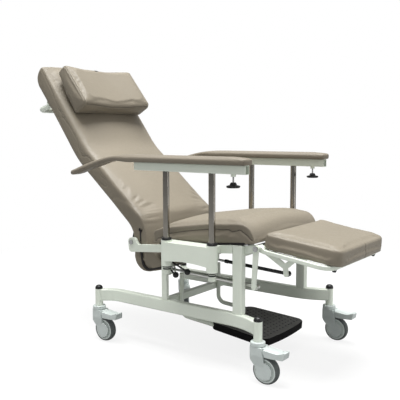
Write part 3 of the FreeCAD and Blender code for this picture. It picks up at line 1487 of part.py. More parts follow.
brackets.append(gusset.cut(on_seat(box(-EAR_BACK, 0, y0, y1, -SEAT_RAIL_H / 2, 2 * RAIL_H))))
keep("spring_brackets", *brackets)


# Release levers: an eye on the pivot pin, a bent rod and a ball
def release_lever(inner, points, radii):
    y0, y1 = span(RIGHT, inner, inner + LEVER_EYE_W)
    y = (y0 + y1) / 2
    eye = rod_y(LEVER_PIVOT[0], LEVER_PIVOT[1], LEVER_EYE_R, y0, y1)
    path = [V(LEVER_PIVOT[0] + p[0], y, LEVER_PIVOT[1] + p[1]) for p in points]
    ball = Part.makeSphere(LEVER_BALL_D / 2, path[-1])
    arm = fused([round_tube(path, radii, LEVER_ROD_D), eye])
    arm = arm.cut(rod_y(LEVER_PIVOT[0], LEVER_PIVOT[1], LEVER_PIN_D / 2 + RUN, y0, y1))
    arm = arm.cut(ball)
    return Part.makeCompound([max(arm.Solids, key=lambda solid: solid.Volume), ball])


lever_in = RAIL_OUT + LEVER_SIDE
second_in = lever_in + LEVER_EYE_W + LEVER_SIDE
keep(
    "back_release_lever",
    release_lever(lever_in, [(0, 0), BACK_LEVER_ELBOW, BACK_LEVER_BALL], [0, 20.0, 0]),
)
keep("leg_release_lever", release_lever(second_in, [(0, 0), LEG_LEVER_BALL], [0, 0]))

# Pivot bolts and the lever pin
bolts = []
for side in (RIGHT, LEFT):
    y0, y1 = span(side, BACK_HALF - HINGE_COVER - 1.5 * HINGE_T, RAIL_OUT)
    shank = rod_y(BACK_PIVOT_X, BACK_PIVOT_Z, PIVOT_R, y0, y1)
    y0, y1 = span(side, RAIL_OUT, RAIL_OUT + BOLT_HEAD_T)
    head = rod_y(BACK_PIVOT_X, BACK_PIVOT_Z, BOLT_HEAD_R, y0, y1)
    bolts.append(fused([shank, head]))
    seat_out = HANGER_OUT if side == RIGHT else PLATE_OUT
    y0, y1 = span(side, STRUT_PLATE_IN - 2.0, seat_out)
    shank = rod_y(LEG_PIVOT_X, LEG_PIVOT_Z, PIVOT_R, y0, y1)
    y0, y1 = span(side, seat_out, seat_out + BOLT_HEAD_T)
    head = rod_y(LEG_PIVOT_X, LEG_PIVOT_Z, BOLT_HEAD_R, y0, y1)
    bolts.append(fused([shank, head]))
y0, y1 = span(RIGHT, RAIL_OUT - LEVER_PLATE_T, second_in + LEVER_EYE_W + LEVER_SIDE)
bolts.append(rod_y(LEVER_PIVOT[0], LEVER_PIVOT[1], LEVER_PIN_D / 2, y0, y1))
keep("pivot_bolts", *bolts)

# The middle of the chair's outline on the floor becomes the origin
boxes = [NODES[name].optimalBoundingBox(False, False) for name in ("push_handle", "back_cushion", "leg_cushion")]
SHIFT_X = -(min(b.XMin for b in boxes) + max(b.XMax for b in boxes)) / 2
os.makedirs("parts", exist_ok=True)
for name, shape in NODES.items():
    shape.translate(V(SHIFT_X, 0, 0))
    shape.exportStep("parts/%s.step" % name)
print("nodes %d, moved %.3f along X" % (len(NODES), SHIFT_X))
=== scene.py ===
import json
import math

import bmesh
import bpy
import numpy as np
from mathutils import Matrix, Quaternion, Vector
from mathutils.bvhtree import BVHTree
from mathutils.kdtree import KDTree


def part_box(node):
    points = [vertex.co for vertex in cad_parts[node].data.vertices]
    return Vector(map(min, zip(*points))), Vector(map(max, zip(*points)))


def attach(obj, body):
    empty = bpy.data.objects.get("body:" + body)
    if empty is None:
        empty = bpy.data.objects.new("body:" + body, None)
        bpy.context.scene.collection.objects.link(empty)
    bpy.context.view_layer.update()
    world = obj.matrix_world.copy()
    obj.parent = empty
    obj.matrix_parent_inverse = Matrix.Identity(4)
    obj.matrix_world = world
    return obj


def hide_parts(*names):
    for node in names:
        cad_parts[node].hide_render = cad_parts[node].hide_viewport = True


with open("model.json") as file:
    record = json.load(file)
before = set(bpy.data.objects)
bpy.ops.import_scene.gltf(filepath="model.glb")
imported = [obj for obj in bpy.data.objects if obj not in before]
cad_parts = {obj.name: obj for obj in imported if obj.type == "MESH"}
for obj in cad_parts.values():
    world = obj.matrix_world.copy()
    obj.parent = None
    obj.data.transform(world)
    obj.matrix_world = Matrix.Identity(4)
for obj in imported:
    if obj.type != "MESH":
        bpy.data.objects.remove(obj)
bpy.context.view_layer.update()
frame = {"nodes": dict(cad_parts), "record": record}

NODES = frame["nodes"]
SIDES = ("right", "left")

JOINTS = {joint["name"]: joint for joint in frame["record"]["behaviour"]["joints"]}
MOUNTS = {mount["name"]: mount for mount in frame["record"]["mounts"]}

# Place along X of the front castors' swivel axis, from which the sizes below count
AXIS = JOINTS["swivel_front_right"]["pos_m"][0]

# Viewpoint of the photograph; the focal length is in pixels of its frame
EYE = (AXIS + 1.1117, -2.1240, 0.8797)
AZIMUTH = math.radians(36.6727)
PITCH = math.radians(6.156)
ROLL = math.radians(-0.1672)
FRAME_PX = 400
FOCAL_PX = 623.18
SENSOR_MM = 36


def linear(red, green, blue):
    """Written colour, 0 to 255, as the linear values that a shader takes."""
    out = []
    for part in (red, green, blue):
        part = part / 255
        out.append(part / 12.92 if part <= 0.04045 else ((part + 0.055) / 1.055) ** 2.4)
    return tuple(out)


def scaled(colour, share):
    return tuple(min(1.0, part * share) for part in colour)


def link(name, data):
    obj = bpy.data.objects.new(name, data)
    bpy.context.scene.collection.objects.link(obj)
    return obj


# Camera, light and floor
def add_camera():
    data = bpy.data.cameras.new("photo_camera")
    data.sensor_fit = "HORIZONTAL"
    data.sensor_width = SENSOR_MM
    data.lens = FOCAL_PX / FRAME_PX * SENSOR_MM
    data.clip_end = 60
    camera = link("photo_camera", data)
    flat = math.cos(PITCH)
    look = Vector((-math.sin(AZIMUTH) * flat, math.cos(AZIMUTH) * flat, -math.sin(PITCH)))
    turn = look.to_track_quat("-Z", "Y") @ Quaternion((0, 0, 1), ROLL)
    camera.matrix_world = Matrix.Translation(EYE) @ turn.to_matrix().to_4x4()
    bpy.context.scene.camera = camera


def add_lamp(name, place, target, width, depth, watts):
    data = bpy.data.lights.new(name, "AREA")
    data.shape = "RECTANGLE"
    data.size = width
    data.size_y = depth
    data.energy = watts
    lamp = link(name, data)
    aim = (Vector(target) - Vector(place)).to_track_quat("-Z", "Y")
    lamp.matrix_world = Matrix.Translation(place) @ aim.to_matrix().to_4x4()


class Nodes:
    """A node tree with short calls for the nodes that the finishes use."""

    def __init__(self, tree):
        self.tree = tree
        self.tree.nodes.clear()

    def add(self, kind, **sockets):
        node = self.tree.nodes.new(kind)
        for key, value in sockets.items():
            self.feed(node, key, value)
        return node

    def feed(self, node, key, value):
        self.put(node.inputs[key.replace("_", " ")], value)

    def put(self, socket, value):
        """Links an output to a socket, or sets the socket's value."""
        if isinstance(value, bpy.types.NodeSocket):
            self.tree.links.new(value, socket)
        elif socket.type == "RGBA" and len(value) == 3:
            socket.default_value = (*value, 1)
        else:
            socket.default_value = value

    def math(self, kind, first, second=0.0):
        node = self.tree.nodes.new("ShaderNodeMath")
        node.operation = kind
        for socket, value in zip(node.inputs, (first, second)):
            self.put(socket, value)
        return node.outputs[0]

    def between(self, value, low, high, to_low, to_high):
        node = self.add("ShaderNodeMapRange", Value=value, From_Min=low, From_Max=high)
        node.inputs["To Min"].default_value = to_low
        node.inputs["To Max"].default_value = to_high
        return node.outputs[0]

    def place(self):
        return self.add("ShaderNodeTexCoord").outputs["Object"]

    def stretched(self, vector, scale):
        return self.add("ShaderNodeMapping", Vector=vector, Scale=scale).outputs[0]

    def noise(self, vector, scale, detail=3.0, roughness=0.5):
        node = self.add("ShaderNodeTexNoise", Vector=vector, Scale=scale)
        self.feed(node, "Detail", detail)
        self.feed(node, "Roughness", roughness)
        return node.outputs[0]

    def cells(self, vector, scale, edges=False):
        node = self.add("ShaderNodeTexVoronoi")
        node.feature = "DISTANCE_TO_EDGE" if edges else "F1"
        self.feed(node, "Vector", vector)
        self.feed(node, "Scale", scale)
        return node.outputs["Distance"]

    def tint(self, share, first, second):
        node = self.tree.nodes.new("ShaderNodeMix")
        node.data_type = "RGBA"
        for index, value in ((0, share), (6, first), (7, second)):
            self.put(node.inputs[index], value)
        return node.outputs[2]

    def bump(self, height, strength, distance, normal=None):
        node = self.add("ShaderNodeBump", Height=height, Strength=strength, Distance=distance)
        if normal is not None:
            self.feed(node, "Normal", normal)
        return node.outputs[0]


# Strength of the room's light at the horizon and overhead, the sine of the angle from which it
# is full, and its share in reflections
WALL_LIGHT = 0.36
CEILING_LIGHT = 0.8
CEILING_HEIGHT = 0.9
GLOSSY_SHARE = 0.62

# Floor: half its side, its drop below the tyres, its tone to other surfaces and to the camera,
# its own glow, and the distances between which that glow rises to white
FLOOR_REACH = 14.0
FLOOR_DROP = 0.0005
FLOOR_BOUNCE = 0.3
FLOOR_TONE = (0.86, 0.86, 0.85)
FLOOR_GLOW = 0.84
FLOOR_FADE = (0.9, 2.4)

# Lamps: name, place, target, width, depth and watts
LAMPS = (
    ("softbox_over", (0.1, -0.3, 7.0), (0.1, -0.1, 0.4), 4.4, 4.4, 920),
    ("softbox_front", (3.2, 0.9, 1.9), (0, 0, 0.6), 2.0, 2.0, 10),
    ("strip_front", (2.7, 0.75, 0.6), (0, 0, 0.55), 0.5, 1.2, 5),
)


def add_world():
    world = bpy.data.worlds.new("studio")
    world.use_nodes = True
    bpy.context.scene.world = world
    tree = Nodes(world.node_tree)
    way = tree.add("ShaderNodeTexCoord").outputs["Generated"]
    height = tree.add("ShaderNodeSeparateXYZ", Vector=way).outputs["Z"]
    room = tree.between(height, 0.0, CEILING_HEIGHT, WALL_LIGHT, CEILING_LIGHT)
    path = tree.add("ShaderNodeLightPath").outputs
    seen = tree.between(path["Is Glossy Ray"], 0, 1, 1.0, GLOSSY_SHARE)
    room = tree.math("MULTIPLY", room, seen)
    strength = tree.math("MAXIMUM", room, path["Is Camera Ray"])
    back = tree.add("ShaderNodeBackground", Color=(1, 1, 1), Strength=strength)
    tree.add("ShaderNodeOutputWorld", Surface=back.outputs[0])


def add_floor():
    mesh = bpy.data.meshes.new("floor")
    reach = FLOOR_REACH
    corners = [(-reach, -reach, 0), (reach, -reach, 0), (reach, reach, 0), (-reach, reach, 0)]
    mesh.from_pydata(corners, [], [(0, 1, 2, 3)])
    floor = link("floor", mesh)
    floor.location.z = -FLOOR_DROP
    material = bpy.data.materials.new("pale_floor")
    material.use_nodes = True
    tree = Nodes(material.node_tree)
    shown = tree.add("ShaderNodeLightPath").outputs["Is Camera Ray"]
    tone = tree.tint(shown, (FLOOR_BOUNCE, FLOOR_BOUNCE, FLOOR_BOUNCE), FLOOR_TONE)
    paint = tree.add("ShaderNodeBsdfDiffuse", Color=tone)
    glow = tree.add("ShaderNodeEmission", Color=(1, 1, 1), Strength=1.0)
    length = tree.add("ShaderNodeVectorMath")
    length.operation = "LENGTH"
    tree.feed(length, "Vector", tree.place())
    far = tree.between(length.outputs["Value"], *FLOOR_FADE, FLOOR_GLOW, 1.0)
    both = tree.add("ShaderNodeMixShader", Fac=tree.math("MULTIPLY", far, shown))
    tree.tree.links.new(paint.outputs[0], both.inputs[1])
    tree.tree.links.new(glow.outputs[0], both.inputs[2])
    tree.add("ShaderNodeOutputMaterial", Surface=both.outputs[0])
    mesh.materials.append(material)


bpy.context.scene.view_settings.view_transform = "Standard"
add_camera()
add_world()
add_floor()
for lamp in LAMPS:
    add_lamp(*lamp)


# Finishes
class Finish(Nodes):
    """A material with one Principled shader; uniform values go on its own sockets."""

    def __init__(self, name, **uniform):
        self.material = bpy.data.materials.new(name)
        self.material.use_nodes = True
        super().__init__(self.material.node_tree)
        self.shader = self.add("ShaderNodeBsdfPrincipled")
        self.add("ShaderNodeOutputMaterial", Surface=self.shader.outputs[0])
        for key, value in uniform.items():
            self.set(key, value)

    def set(self, key, value):
        self.feed(self.shader, key, value)


def leather(name, colour, grain=620.0):
    f = Finish(name, Specular_IOR_Level=0.42, Sheen_Weight=0.06, Sheen_Roughness=0.5)
    at = f.place()
    cloud = f.noise(at, 4.2, 4.0, 0.55)
    pores = f.cells(at, grain, edges=True)
    creases = f.noise(f.stretched(at, (1.0, 0.55, 1.0)), 85.0, 5.0, 0.6)
    tone = f.tint(f.between(cloud, 0.32, 0.68, 0, 1), scaled(colour, 0.955), scaled(colour, 1.03))
    tone = f.tint(f.between(pores, 0.0, 0.05, 0.16, 0.0), tone, scaled(colour, 0.62))
    # Pointiness: lighter along sharp ridges, and darker in hollows, seams and creases as painted shade
    ridge = f.add("ShaderNodeNewGeometry").outputs["Pointiness"]
    tone = f.tint(f.between(ridge, 0.51, 0.56, 0.0, 0.2), tone, scaled(colour, 1.16))
    tone = f.tint(f.between(ridge, 0.485, 0.43, 0.0, 0.4), tone, scaled(colour, 0.5))
    f.set("Base Color", tone)
    f.set("Roughness", f.between(creases, 0.3, 0.7, 0.44, 0.58))
    fine = f.bump(f.between(pores, 0.0, 0.12, 0.0, 1.0), 0.22, 0.0005)
    f.set("Normal", f.bump(creases, 0.1, 0.0022, fine))
    return f.material


def powder_coat(name, colour):
    f = Finish(name, Specular_IOR_Level=0.45, Coat_Weight=0.12, Coat_Roughness=0.22)
    at = f.place()
    cloud = f.noise(at, 7.0, 4.0, 0.6)
    peel = f.noise(at, 520.0, 2.0, 0.5)
    specks = f.noise(at, 160.0, 6.0, 0.75)
    tone = f.tint(f.between(cloud, 0.3, 0.7, 0, 1), scaled(colour, 0.965), scaled(colour, 1.025))
    height = f.add("ShaderNodeSeparateXYZ", Vector=at).outputs["Z"]
    low = f.between(height, 0.42, 0.1, 0.0, 0.5)
    scuffs = f.math("MULTIPLY", low, f.between(specks, 0.55, 0.75, 0.0, 1.0))
    tone = f.tint(scuffs, tone, scaled(colour, 0.7))
    f.set("Base Color", tone)
    f.set("Roughness", f.between(specks, 0.3, 0.7, 0.3, 0.44))
    f.set("Normal", f.bump(peel, 0.12, 0.0006))
    return f.material


def moulded(name, colour, rough=0.42, texture=750.0):
    f = Finish(name, Specular_IOR_Level=0.45)
    at = f.place()
    cloud = f.noise(at, 16.0, 4.0, 0.6)
    spark = f.noise(at, texture, 2.0, 0.6)
    tone = f.tint(f.between(cloud, 0.3, 0.7, 0, 1), scaled(colour, 0.94), scaled(colour, 1.05))
    scratches = f.noise(f.stretched(at, (1.0, 6.0, 2.0)), 60.0, 6.0, 0.7)
    tone = f.tint(f.between(scratches, 0.62, 0.8, 0.0, 0.25), tone, scaled(colour, 1.3))
    f.set("Base Color", tone)
    f.set("Roughness", f.between(scratches, 0.3, 0.7, rough - 0.06, rough + 0.1))
    f.set("Normal", f.bump(spark, 0.16, 0.0004))
    return f.material


def bare_metal(name, colour, low, high, run):
    """Polished or drawn metal; run stretches its fine lines along the piece."""
    f = Finish(name, Metallic=1.0, Anisotropic=0.35)
    at = f.place()
    lines = f.noise(f.stretched(at, run), 420.0, 5.0, 0.65)
    cloud = f.noise(at, 22.0, 3.0, 0.5)
    tone = f.tint(f.between(cloud, 0.3, 0.7, 0, 1), scaled(colour, 0.9), scaled(colour, 1.06))
    f.set("Base Color", tone)
    f.set("Roughness", f.between(lines, 0.3, 0.7, low, high))
    f.set("Normal", f.bump(lines, 0.07, 0.0003))
    return f.material


def tread(name, colour):
    f = Finish(name, Specular_IOR_Level=0.16)
    at = f.place()
    dust = f.noise(at, 55.0, 5.0, 0.7)
    grit = f.noise(at, 900.0, 2.0, 0.6)
    tone = f.tint(f.between(dust, 0.35, 0.7, 0, 1), scaled(colour, 0.86), scaled(colour, 1.14))
    f.set("Base Color", tone)
    f.set("Roughness", f.between(dust, 0.3, 0.7, 0.55, 0.75))
    f.set("Normal", f.bump(grit, 0.3, 0.0005))
    return f.material


def plywood(name, colour):
    f = Finish(name, Specular_IOR_Level=0.35)
    at = f.place()
    grain = f.noise(f.stretched(at, (6.0, 1.0, 30.0)), 26.0, 6.0, 0.65)
    tone = f.tint(f.between(grain, 0.3, 0.7, 0, 1), scaled(colour, 0.7), scaled(colour, 1.5))
    f.set("Base Color", tone)
    f.set("Roughness", f.between(grain, 0.3, 0.7, 0.5, 0.7))
    f.set("Normal", f.bump(grain, 0.3, 0.0006))
    return f.material


WEAVE_PITCH = 0.0016


def webbing(name, colour):
    f = Finish(name, Specular_IOR_Level=0.25, Sheen_Weight=0.15)
    at = f.place()
    waves = []
    for axis in "XY":
        along = f.add("ShaderNodeSeparateXYZ", Vector=at).outputs[axis]
        waves.append(f.math("SINE", f.math("MULTIPLY", along, 2 * math.pi / WEAVE_PITCH)))
    weave = f.between(f.math("MULTIPLY", waves[0], waves[1]), -1, 1, 0, 1)
    f.set("Base Color", f.tint(weave, scaled(colour, 0.7), scaled(colour, 1.4)))
    f.set("Roughness", f.between(weave, 0, 1, 0.7, 0.9))
    f.set("Normal", f.bump(weave, 0.5, 0.0005))
    return f.material


FINISH = {
    "upholstery": leather("taupe_leather", linear(126, 118, 103)),
    # The same leather as the seat, a little darker as painted shade on the pads' tops
    "arm_cover": leather("taupe_arm_leather", linear(119, 111, 97), 700.0),
    "thread": webbing("taupe_thread", linear(138, 130, 114)),
    "frame_paint": powder_coat("off_white_coat", linear(224, 231, 218)),
    "black_plastic": moulded("black_moulding", linear(26, 27, 27), 0.36),
    "chrome": bare_metal("polished_posts", linear(154, 150, 142), 0.09, 0.17, (1.0, 1.0, 0.04)),
    "steel": bare_metal("zinc_steel", linear(186, 187, 186), 0.2, 0.34, (0.1, 1.0, 1.0)),
    "bright_barrel": bare_metal("bright_barrel", linear(232, 232, 228), 0.3, 0.42, (0.1, 1.0, 1.0)),
    # Near black for the footplate's sides and underside: painted shade on its one black moulding
    "foot_edge": tread("footplate_edge", linear(11, 11, 11)),
    # Dark leather tone of the painted shade laid in the seam grooves
    "crease": leather("seam_crease", linear(62, 56, 48)),
    "black_paint": moulded("black_gloss", linear(24, 25, 26), 0.24),
    "board": plywood("stained_ply", linear(30, 28, 27)),
    "webbing": webbing("black_webbing", linear(30, 30, 31)),
    # Grey for the footplate's top: the same black moulding painted lighter, as painted light from above
    "foot_mat": tread("footplate_mat", linear(94, 94, 92)),
    "castor_plastic": moulded("castor_grey", linear(200, 208, 205), 0.38),
    "wheel_disc": moulded("wheel_grey", linear(222, 230, 226), 0.36),
    "tyre": tread("grey_tyre", linear(98, 103, 102)),
}


def solids_of(mesh):
    """Number of the separate solid that each face of a CAD node belongs to."""
    keys = {}
    owner = []
    for vertex in mesh.vertices:
        owner.append(keys.setdefault(tuple(round(c, 5) for c in vertex.co), len(keys)))
    root = list(range(len(keys)))

    def find(index):
        while root[index] != index:
            root[index] = root[root[index]]
            index = root[index]
        return index

    for face in mesh.polygons:
        first = find(owner[face.vertices[0]])
        for other in face.vertices[1:]:
            root[find(owner[other])] = first
    return [find(owner[face.vertices[0]]) for face in mesh.polygons]


def dress(node, finish, small=None):
    """Finish for a CAD node; small is for its solids other than the largest."""
    mesh = NODES[node].data
    mesh.materials.clear()
    mesh.materials.append(FINISH[finish])
    for face in mesh.polygons:
        face.material_index = 0
    if small is None:
        return
    mesh.materials.append(FINISH[small])
    groups = solids_of(mesh)
    area = {}
    for face, group in zip(mesh.polygons, groups):
        area[group] = area.get(group, 0) + face.area
    largest = max(area, key=area.get)
    for face, group in zip(mesh.polygons, groups):
        face.material_index = 0 if group == largest else 1


for entry in frame["record"]["subparts"]:
    dress(entry["node"], entry["material_slot"])
for side in SIDES:
    dress("clamp_knob_" + side, "black_plastic", "steel")


def dress_faces(node, finish, chosen):
    """A second finish for the faces of a node that chosen picks."""
    mesh = NODES[node].data
    mesh.materials.append(FINISH[finish])
    for face in mesh.polygons:
        if chosen(face):
            face.material_index = len(mesh.materials) - 1


PLATE_UP = Vector(MOUNTS["footplate_top"]["axis"]).normalized()
PLATE_TOP_COSINE = 0.93
HINGE_PLATE_SIDE = 0.23
HINGE_PLATE_LOW = JOINTS["back_recline"]["pos_m"][2] + 0.02


def on_plate_edge(face):
    return face.normal.dot(PLATE_UP) < PLATE_TOP_COSINE


def under_cushions(face):
    """The stretch of the hinge plates that the backrest's cushions close over."""
    return abs(face.center.y) > HINGE_PLATE_SIDE and face.center.z > HINGE_PLATE_LOW


# The footplate's faces that don't face up get the darker tone as painted shade; its top keeps the lighter
# painted tone
dress_faces("footplate", "foot_edge", on_plate_edge)
dress("back_spring_cylinder", "bright_barrel")
dress_faces("back_brackets", "board", under_cushions)


# Soft pieces
def points_of(obj):
    flat = np.zeros(len(obj.data.vertices) * 3)
    obj.data.vertices.foreach_get("co", flat)
    return flat.reshape(-1, 3)


def normals_of(obj):
    flat = np.zeros(len(obj.data.vertices) * 3)
    obj.data.vertex_normals.foreach_get("vector", flat)
    return flat.reshape(-1, 3)


def set_points(obj, points):
    obj.data.vertices.foreach_set("co", points.ravel())
    obj.data.update()


def settled(obj):
    """The piece with its modifiers applied."""
    bpy.context.view_layer.update()
    graph = bpy.context.evaluated_depsgraph_get()
    mesh = bpy.data.meshes.new_from_object(obj.evaluated_get(graph))
    obj.modifiers.clear()
    obj.data = mesh
    return obj


def remesh(obj, voxel):
    skin = obj.modifiers.new("skin", "REMESH")
    skin.mode = "VOXEL"
    skin.voxel_size = voxel


def smooth(obj, rounds):
    even = obj.modifiers.new("smooth", "SMOOTH")
    even.factor = 0.5
    even.iterations = rounds


def shade_smooth(mesh):
    for face in mesh.polygons:
        face.use_smooth = True


def ring_faces(first, rows, around):
    """Squares between rows of points, each row a closed ring."""
    faces = []
    for row in range(rows - 1):
        low = first + row * around
        high = low + around
        for k in range(around):
            m = (k + 1) % around
            faces.append((low + k, low + m, high + m, high + k))
    return faces


def built(name, verts, faces):
    """Mesh with smooth squares and flat ends."""
    mesh = bpy.data.meshes.new(name)
    mesh.from_pydata(verts, [], faces)
    mesh.update()
    for face in mesh.polygons:
        face.use_smooth = len(face.vertices) == 4
    return mesh


def added(name, mesh, finishes, body):
    """Piece of a mesh, with its finishes, that rides on a body."""
    for finish in finishes:
        mesh.materials.append(FINISH[finish])
    piece = link(name, mesh)
    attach(piece, body)
    return piece


def cover_of(name, nodes, voxel):
    """One closed skin round copies of the CAD solids, drawn back out to their outline."""
    mesh = bpy.data.meshes.new(name)
    body = bmesh.new()
    for node in nodes:
        body.from_mesh(NODES[node].data)
    bmesh.ops.remove_doubles(body, verts=body.verts, dist=1e-5)
    tree = BVHTree.FromBMesh(body)
    body.to_mesh(mesh)
    body.free()
    obj = link(name, mesh)
    remesh(obj, voxel)
    settled(obj)
    points = points_of(obj)
    for index, point in enumerate(points):
        points[index] = tree.find_nearest(Vector(point))[0]
    set_points(obj, points)
    smooth(obj, 2)
    return settled(obj)


LINE_STEP = 0.004
CORNER_POINTS = 9


def rounded_line(corners):
    """Closed line of evenly spaced points; a corner is its two places and its radius."""
    line = []
    count = len(corners)
    for i, (x, z, radius) in enumerate(corners):
        here = np.array((x, z))
        back = np.array(corners[i - 1][:2]) - here
        ahead = np.array(corners[(i + 1) % count][:2]) - here
        back /= np.linalg.norm(back)
        ahead /= np.linalg.norm(ahead)
        half = math.acos(np.clip(back @ ahead, -1, 1)) / 2
        reach = radius / math.tan(half)
        for t in np.linspace(0, 1, CORNER_POINTS):
            line.append(here + back * reach * (1 - t) ** 2 + ahead * reach * t ** 2)
    line = np.array(line + [line[0]])
    gone = np.concatenate([[0], np.cumsum(np.linalg.norm(np.diff(line, axis=0), axis=1))])
    at = np.arange(0, gone[-1] - LINE_STEP / 2, LINE_STEP)
    return np.stack([np.interp(at, gone, line[:, i]) for i in range(2)], axis=1)


def inward(line):
    """Direction to the inside of a closed line, at each of its points."""
    along = np.roll(line, -1, axis=0) - np.roll(line, 1, axis=0)
    along /= np.linalg.norm(along, axis=1)[:, None]
    turn = np.stack([-along[:, 1], along[:, 0]], axis=1)
    area = (line[:, 0] * np.roll(line[:, 1], -1) - line[:, 1] * np.roll(line[:, 0], -1)).sum()
    return turn if area > 0 else -turn


def skinned(name, rings, voxel):
    """Closed form over rings of equal count, evened out to small squares."""
    count = len(rings[0])
    verts = [tuple(p) for ring in rings for p in ring]
    faces = ring_faces(0, len(rings), count)
    faces.append(tuple(reversed(range(count))))
    faces.append(tuple((len(rings) - 1) * count + k for k in range(count)))
    mesh = bpy.data.meshes.new(name)
    mesh.from_pydata(verts, [], faces)
    body = bmesh.new()
    body.from_mesh(mesh)
    bmesh.ops.recalc_face_normals(body, faces=body.faces)
    body.to_mesh(mesh)
    body.free()
    obj = link(name, mesh)
    remesh(obj, voxel)
    smooth(obj, 1)
    return settled(obj)


CLOTH_FRAMES = 20


def puffed(obj, cap, shrink, held):
    """Foam swelling under its cover: cloth with pressure, limited to cap."""
    start = points_of(obj)
    normals = normals_of(obj)
    free = 1 - np.clip(held(start, normals), 0, 1)
    set_points(obj, start - normals * (shrink * free)[:, None])
    group = obj.vertex_groups.new(name="held")
    for index, value in enumerate(1 - free):
        if value > 0.01:
            group.add([index], float(value), "REPLACE")
    cloth = obj.modifiers.new("swell", "CLOTH")
    cloth.settings.quality = 4
    cloth.settings.mass = 0.3
    cloth.settings.tension_stiffness = 18
    cloth.settings.compression_stiffness = 18
    cloth.settings.shear_stiffness = 8
    cloth.settings.bending_stiffness = 2
    cloth.settings.use_pressure = True
    cloth.settings.uniform_pressure_force = 4
    cloth.settings.effector_weights.gravity = 0
    cloth.settings.vertex_group_mass = "held"
    cloth.point_cache.frame_start = 1
    cloth.point_cache.frame_end = CLOTH_FRAMES
    scene = bpy.context.scene
    for step in range(1, CLOTH_FRAMES + 1):
        scene.frame_set(step)
    settled(obj)
    move = points_of(obj) - start
    far = np.linalg.norm(move, axis=1)
    move *= np.minimum(1, cap / np.maximum(far, 1e-9))[:, None]
    set_points(obj, start + move)
    scene.frame_set(1)
    obj.vertex_groups.clear()


def finer(obj):
    fine = obj.modifiers.new("fine", "SUBSURF")
    fine.levels = 1
    fine.render_levels = 1
    settled(obj)
    shade_smooth(obj.data)


def section(obj, y):
    """Longest loop of points where an upright cut along the chair, at y, crosses the piece. The
    loops of the two sides run as mirror images, so stitches lie on the same side of both seams."""
    body = bmesh.new()
    body.from_mesh(obj.data)
    whole = body.verts[:] + body.edges[:] + body.faces[:]
    cut = bmesh.ops.bisect_plane(body, geom=whole, plane_co=(0, y, 0), plane_no=(0, 1, 0))
    edges = [e for e in cut["geom_cut"] if isinstance(e, bmesh.types.BMEdge)]
    near = {}
    for edge in edges:
        for vertex in edge.verts:
            near.setdefault(vertex, []).append(edge.other_vert(vertex))
    loops = []
    left = dict.fromkeys(near)
    while left:
        vertex = next(iter(left))
        chain = []
        while vertex is not None:
            del left[vertex]
            chain.append(vertex.co.copy())
            vertex = next((v for v in near[vertex] if v in left), None)
        loops.append(chain)
    body.free()
    loop = max(loops, key=len)
    turn = sum(a.x * b.z - b.x * a.z for a, b in zip(loop, loop[1:] + loop[:1]))
    return loop if turn * y > 0 else loop[::-1]


RUN_POINTS = 6


def runs(loop, keep):
    """Stretches of a closed loop on which keep(point) holds, evenly spaced."""
    flags = [keep(p) for p in loop]
    if all(flags):
        return [spaced(loop + [loop[0]])]
    first = flags.index(False)
    order = loop[first:] + loop[:first]
    flags = flags[first:] + flags[:first]
    found = []
    for point, flag in zip(order, flags):
        if not flag:
            found.append([])
        elif found:
            found[-1].append(point)
    return [spaced(run) for run in found if len(run) > RUN_POINTS]


SEAM_STEP = 0.003


def spaced(run):
    """Points at even steps along a run, with its small zigzags taken out."""
    path = np.array([tuple(p) for p in run])
    for _ in range(4):
        path[1:-1] = (path[:-2] + 2 * path[1:-1] + path[2:]) / 4
    gone = np.concatenate([[0], np.cumsum(np.linalg.norm(np.diff(path, axis=0), axis=1))])
    at = np.arange(0, gone[-1], SEAM_STEP)
    return np.stack([np.interp(at, gone, path[:, i]) for i in range(3)], axis=1)


def groove(obj, paths, depth, width):
    """Presses a sewn seam into the piece along each path."""
    tree = KDTree(sum(len(p) for p in paths))
    count = 0
    for path in paths:
        for point in path:
            tree.insert(point, count)
            count += 1
    tree.balance()
    points = points_of(obj)
    normals = normals_of(obj)
    for index, point in enumerate(points):
        gap = tree.find(point)[2]
        if gap < 3 * width:
            points[index] -= normals[index] * depth * math.exp(-((gap / width) ** 2))
    set_points(obj, points)


# Painted seam shade line: its half width, half height and points round
SEAM_SHADE_HALF_W = 0.0011
SEAM_SHADE_HALF_H = 0.0007
SEAM_SHADE_AROUND = 6


def crease(name, obj, paths, body):
    """Painted shade of a sewn seam: a thin dark tube lying in its groove."""
    tree = BVHTree.FromObject(obj, bpy.context.evaluated_depsgraph_get())
    verts = []
    faces = []
    for path in paths:
        faces += ring_faces(len(verts), len(path), SEAM_SHADE_AROUND)
        for i, point in enumerate(path):
            spot, normal, _, _ = tree.find_nearest(Vector(point))
            along = Vector(path[min(i + 1, len(path) - 1)] - path[max(i - 1, 0)]).normalized()
            aside = normal.cross(along).normalized()
            for k in range(SEAM_SHADE_AROUND):
                angle = 2 * math.pi * k / SEAM_SHADE_AROUND
                out = aside * SEAM_SHADE_HALF_W * math.cos(angle)
                verts.append(spot + out + normal * SEAM_SHADE_HALF_H * math.sin(angle))
    added(name, built(name, verts, faces), ["crease"], body)


STITCH_PITCH = 0.0062
STITCH_LENGTH = 0.0042
STITCH_ASIDE = 0.0055
THREAD_R = 0.00055
THREAD_RISE = 0.3


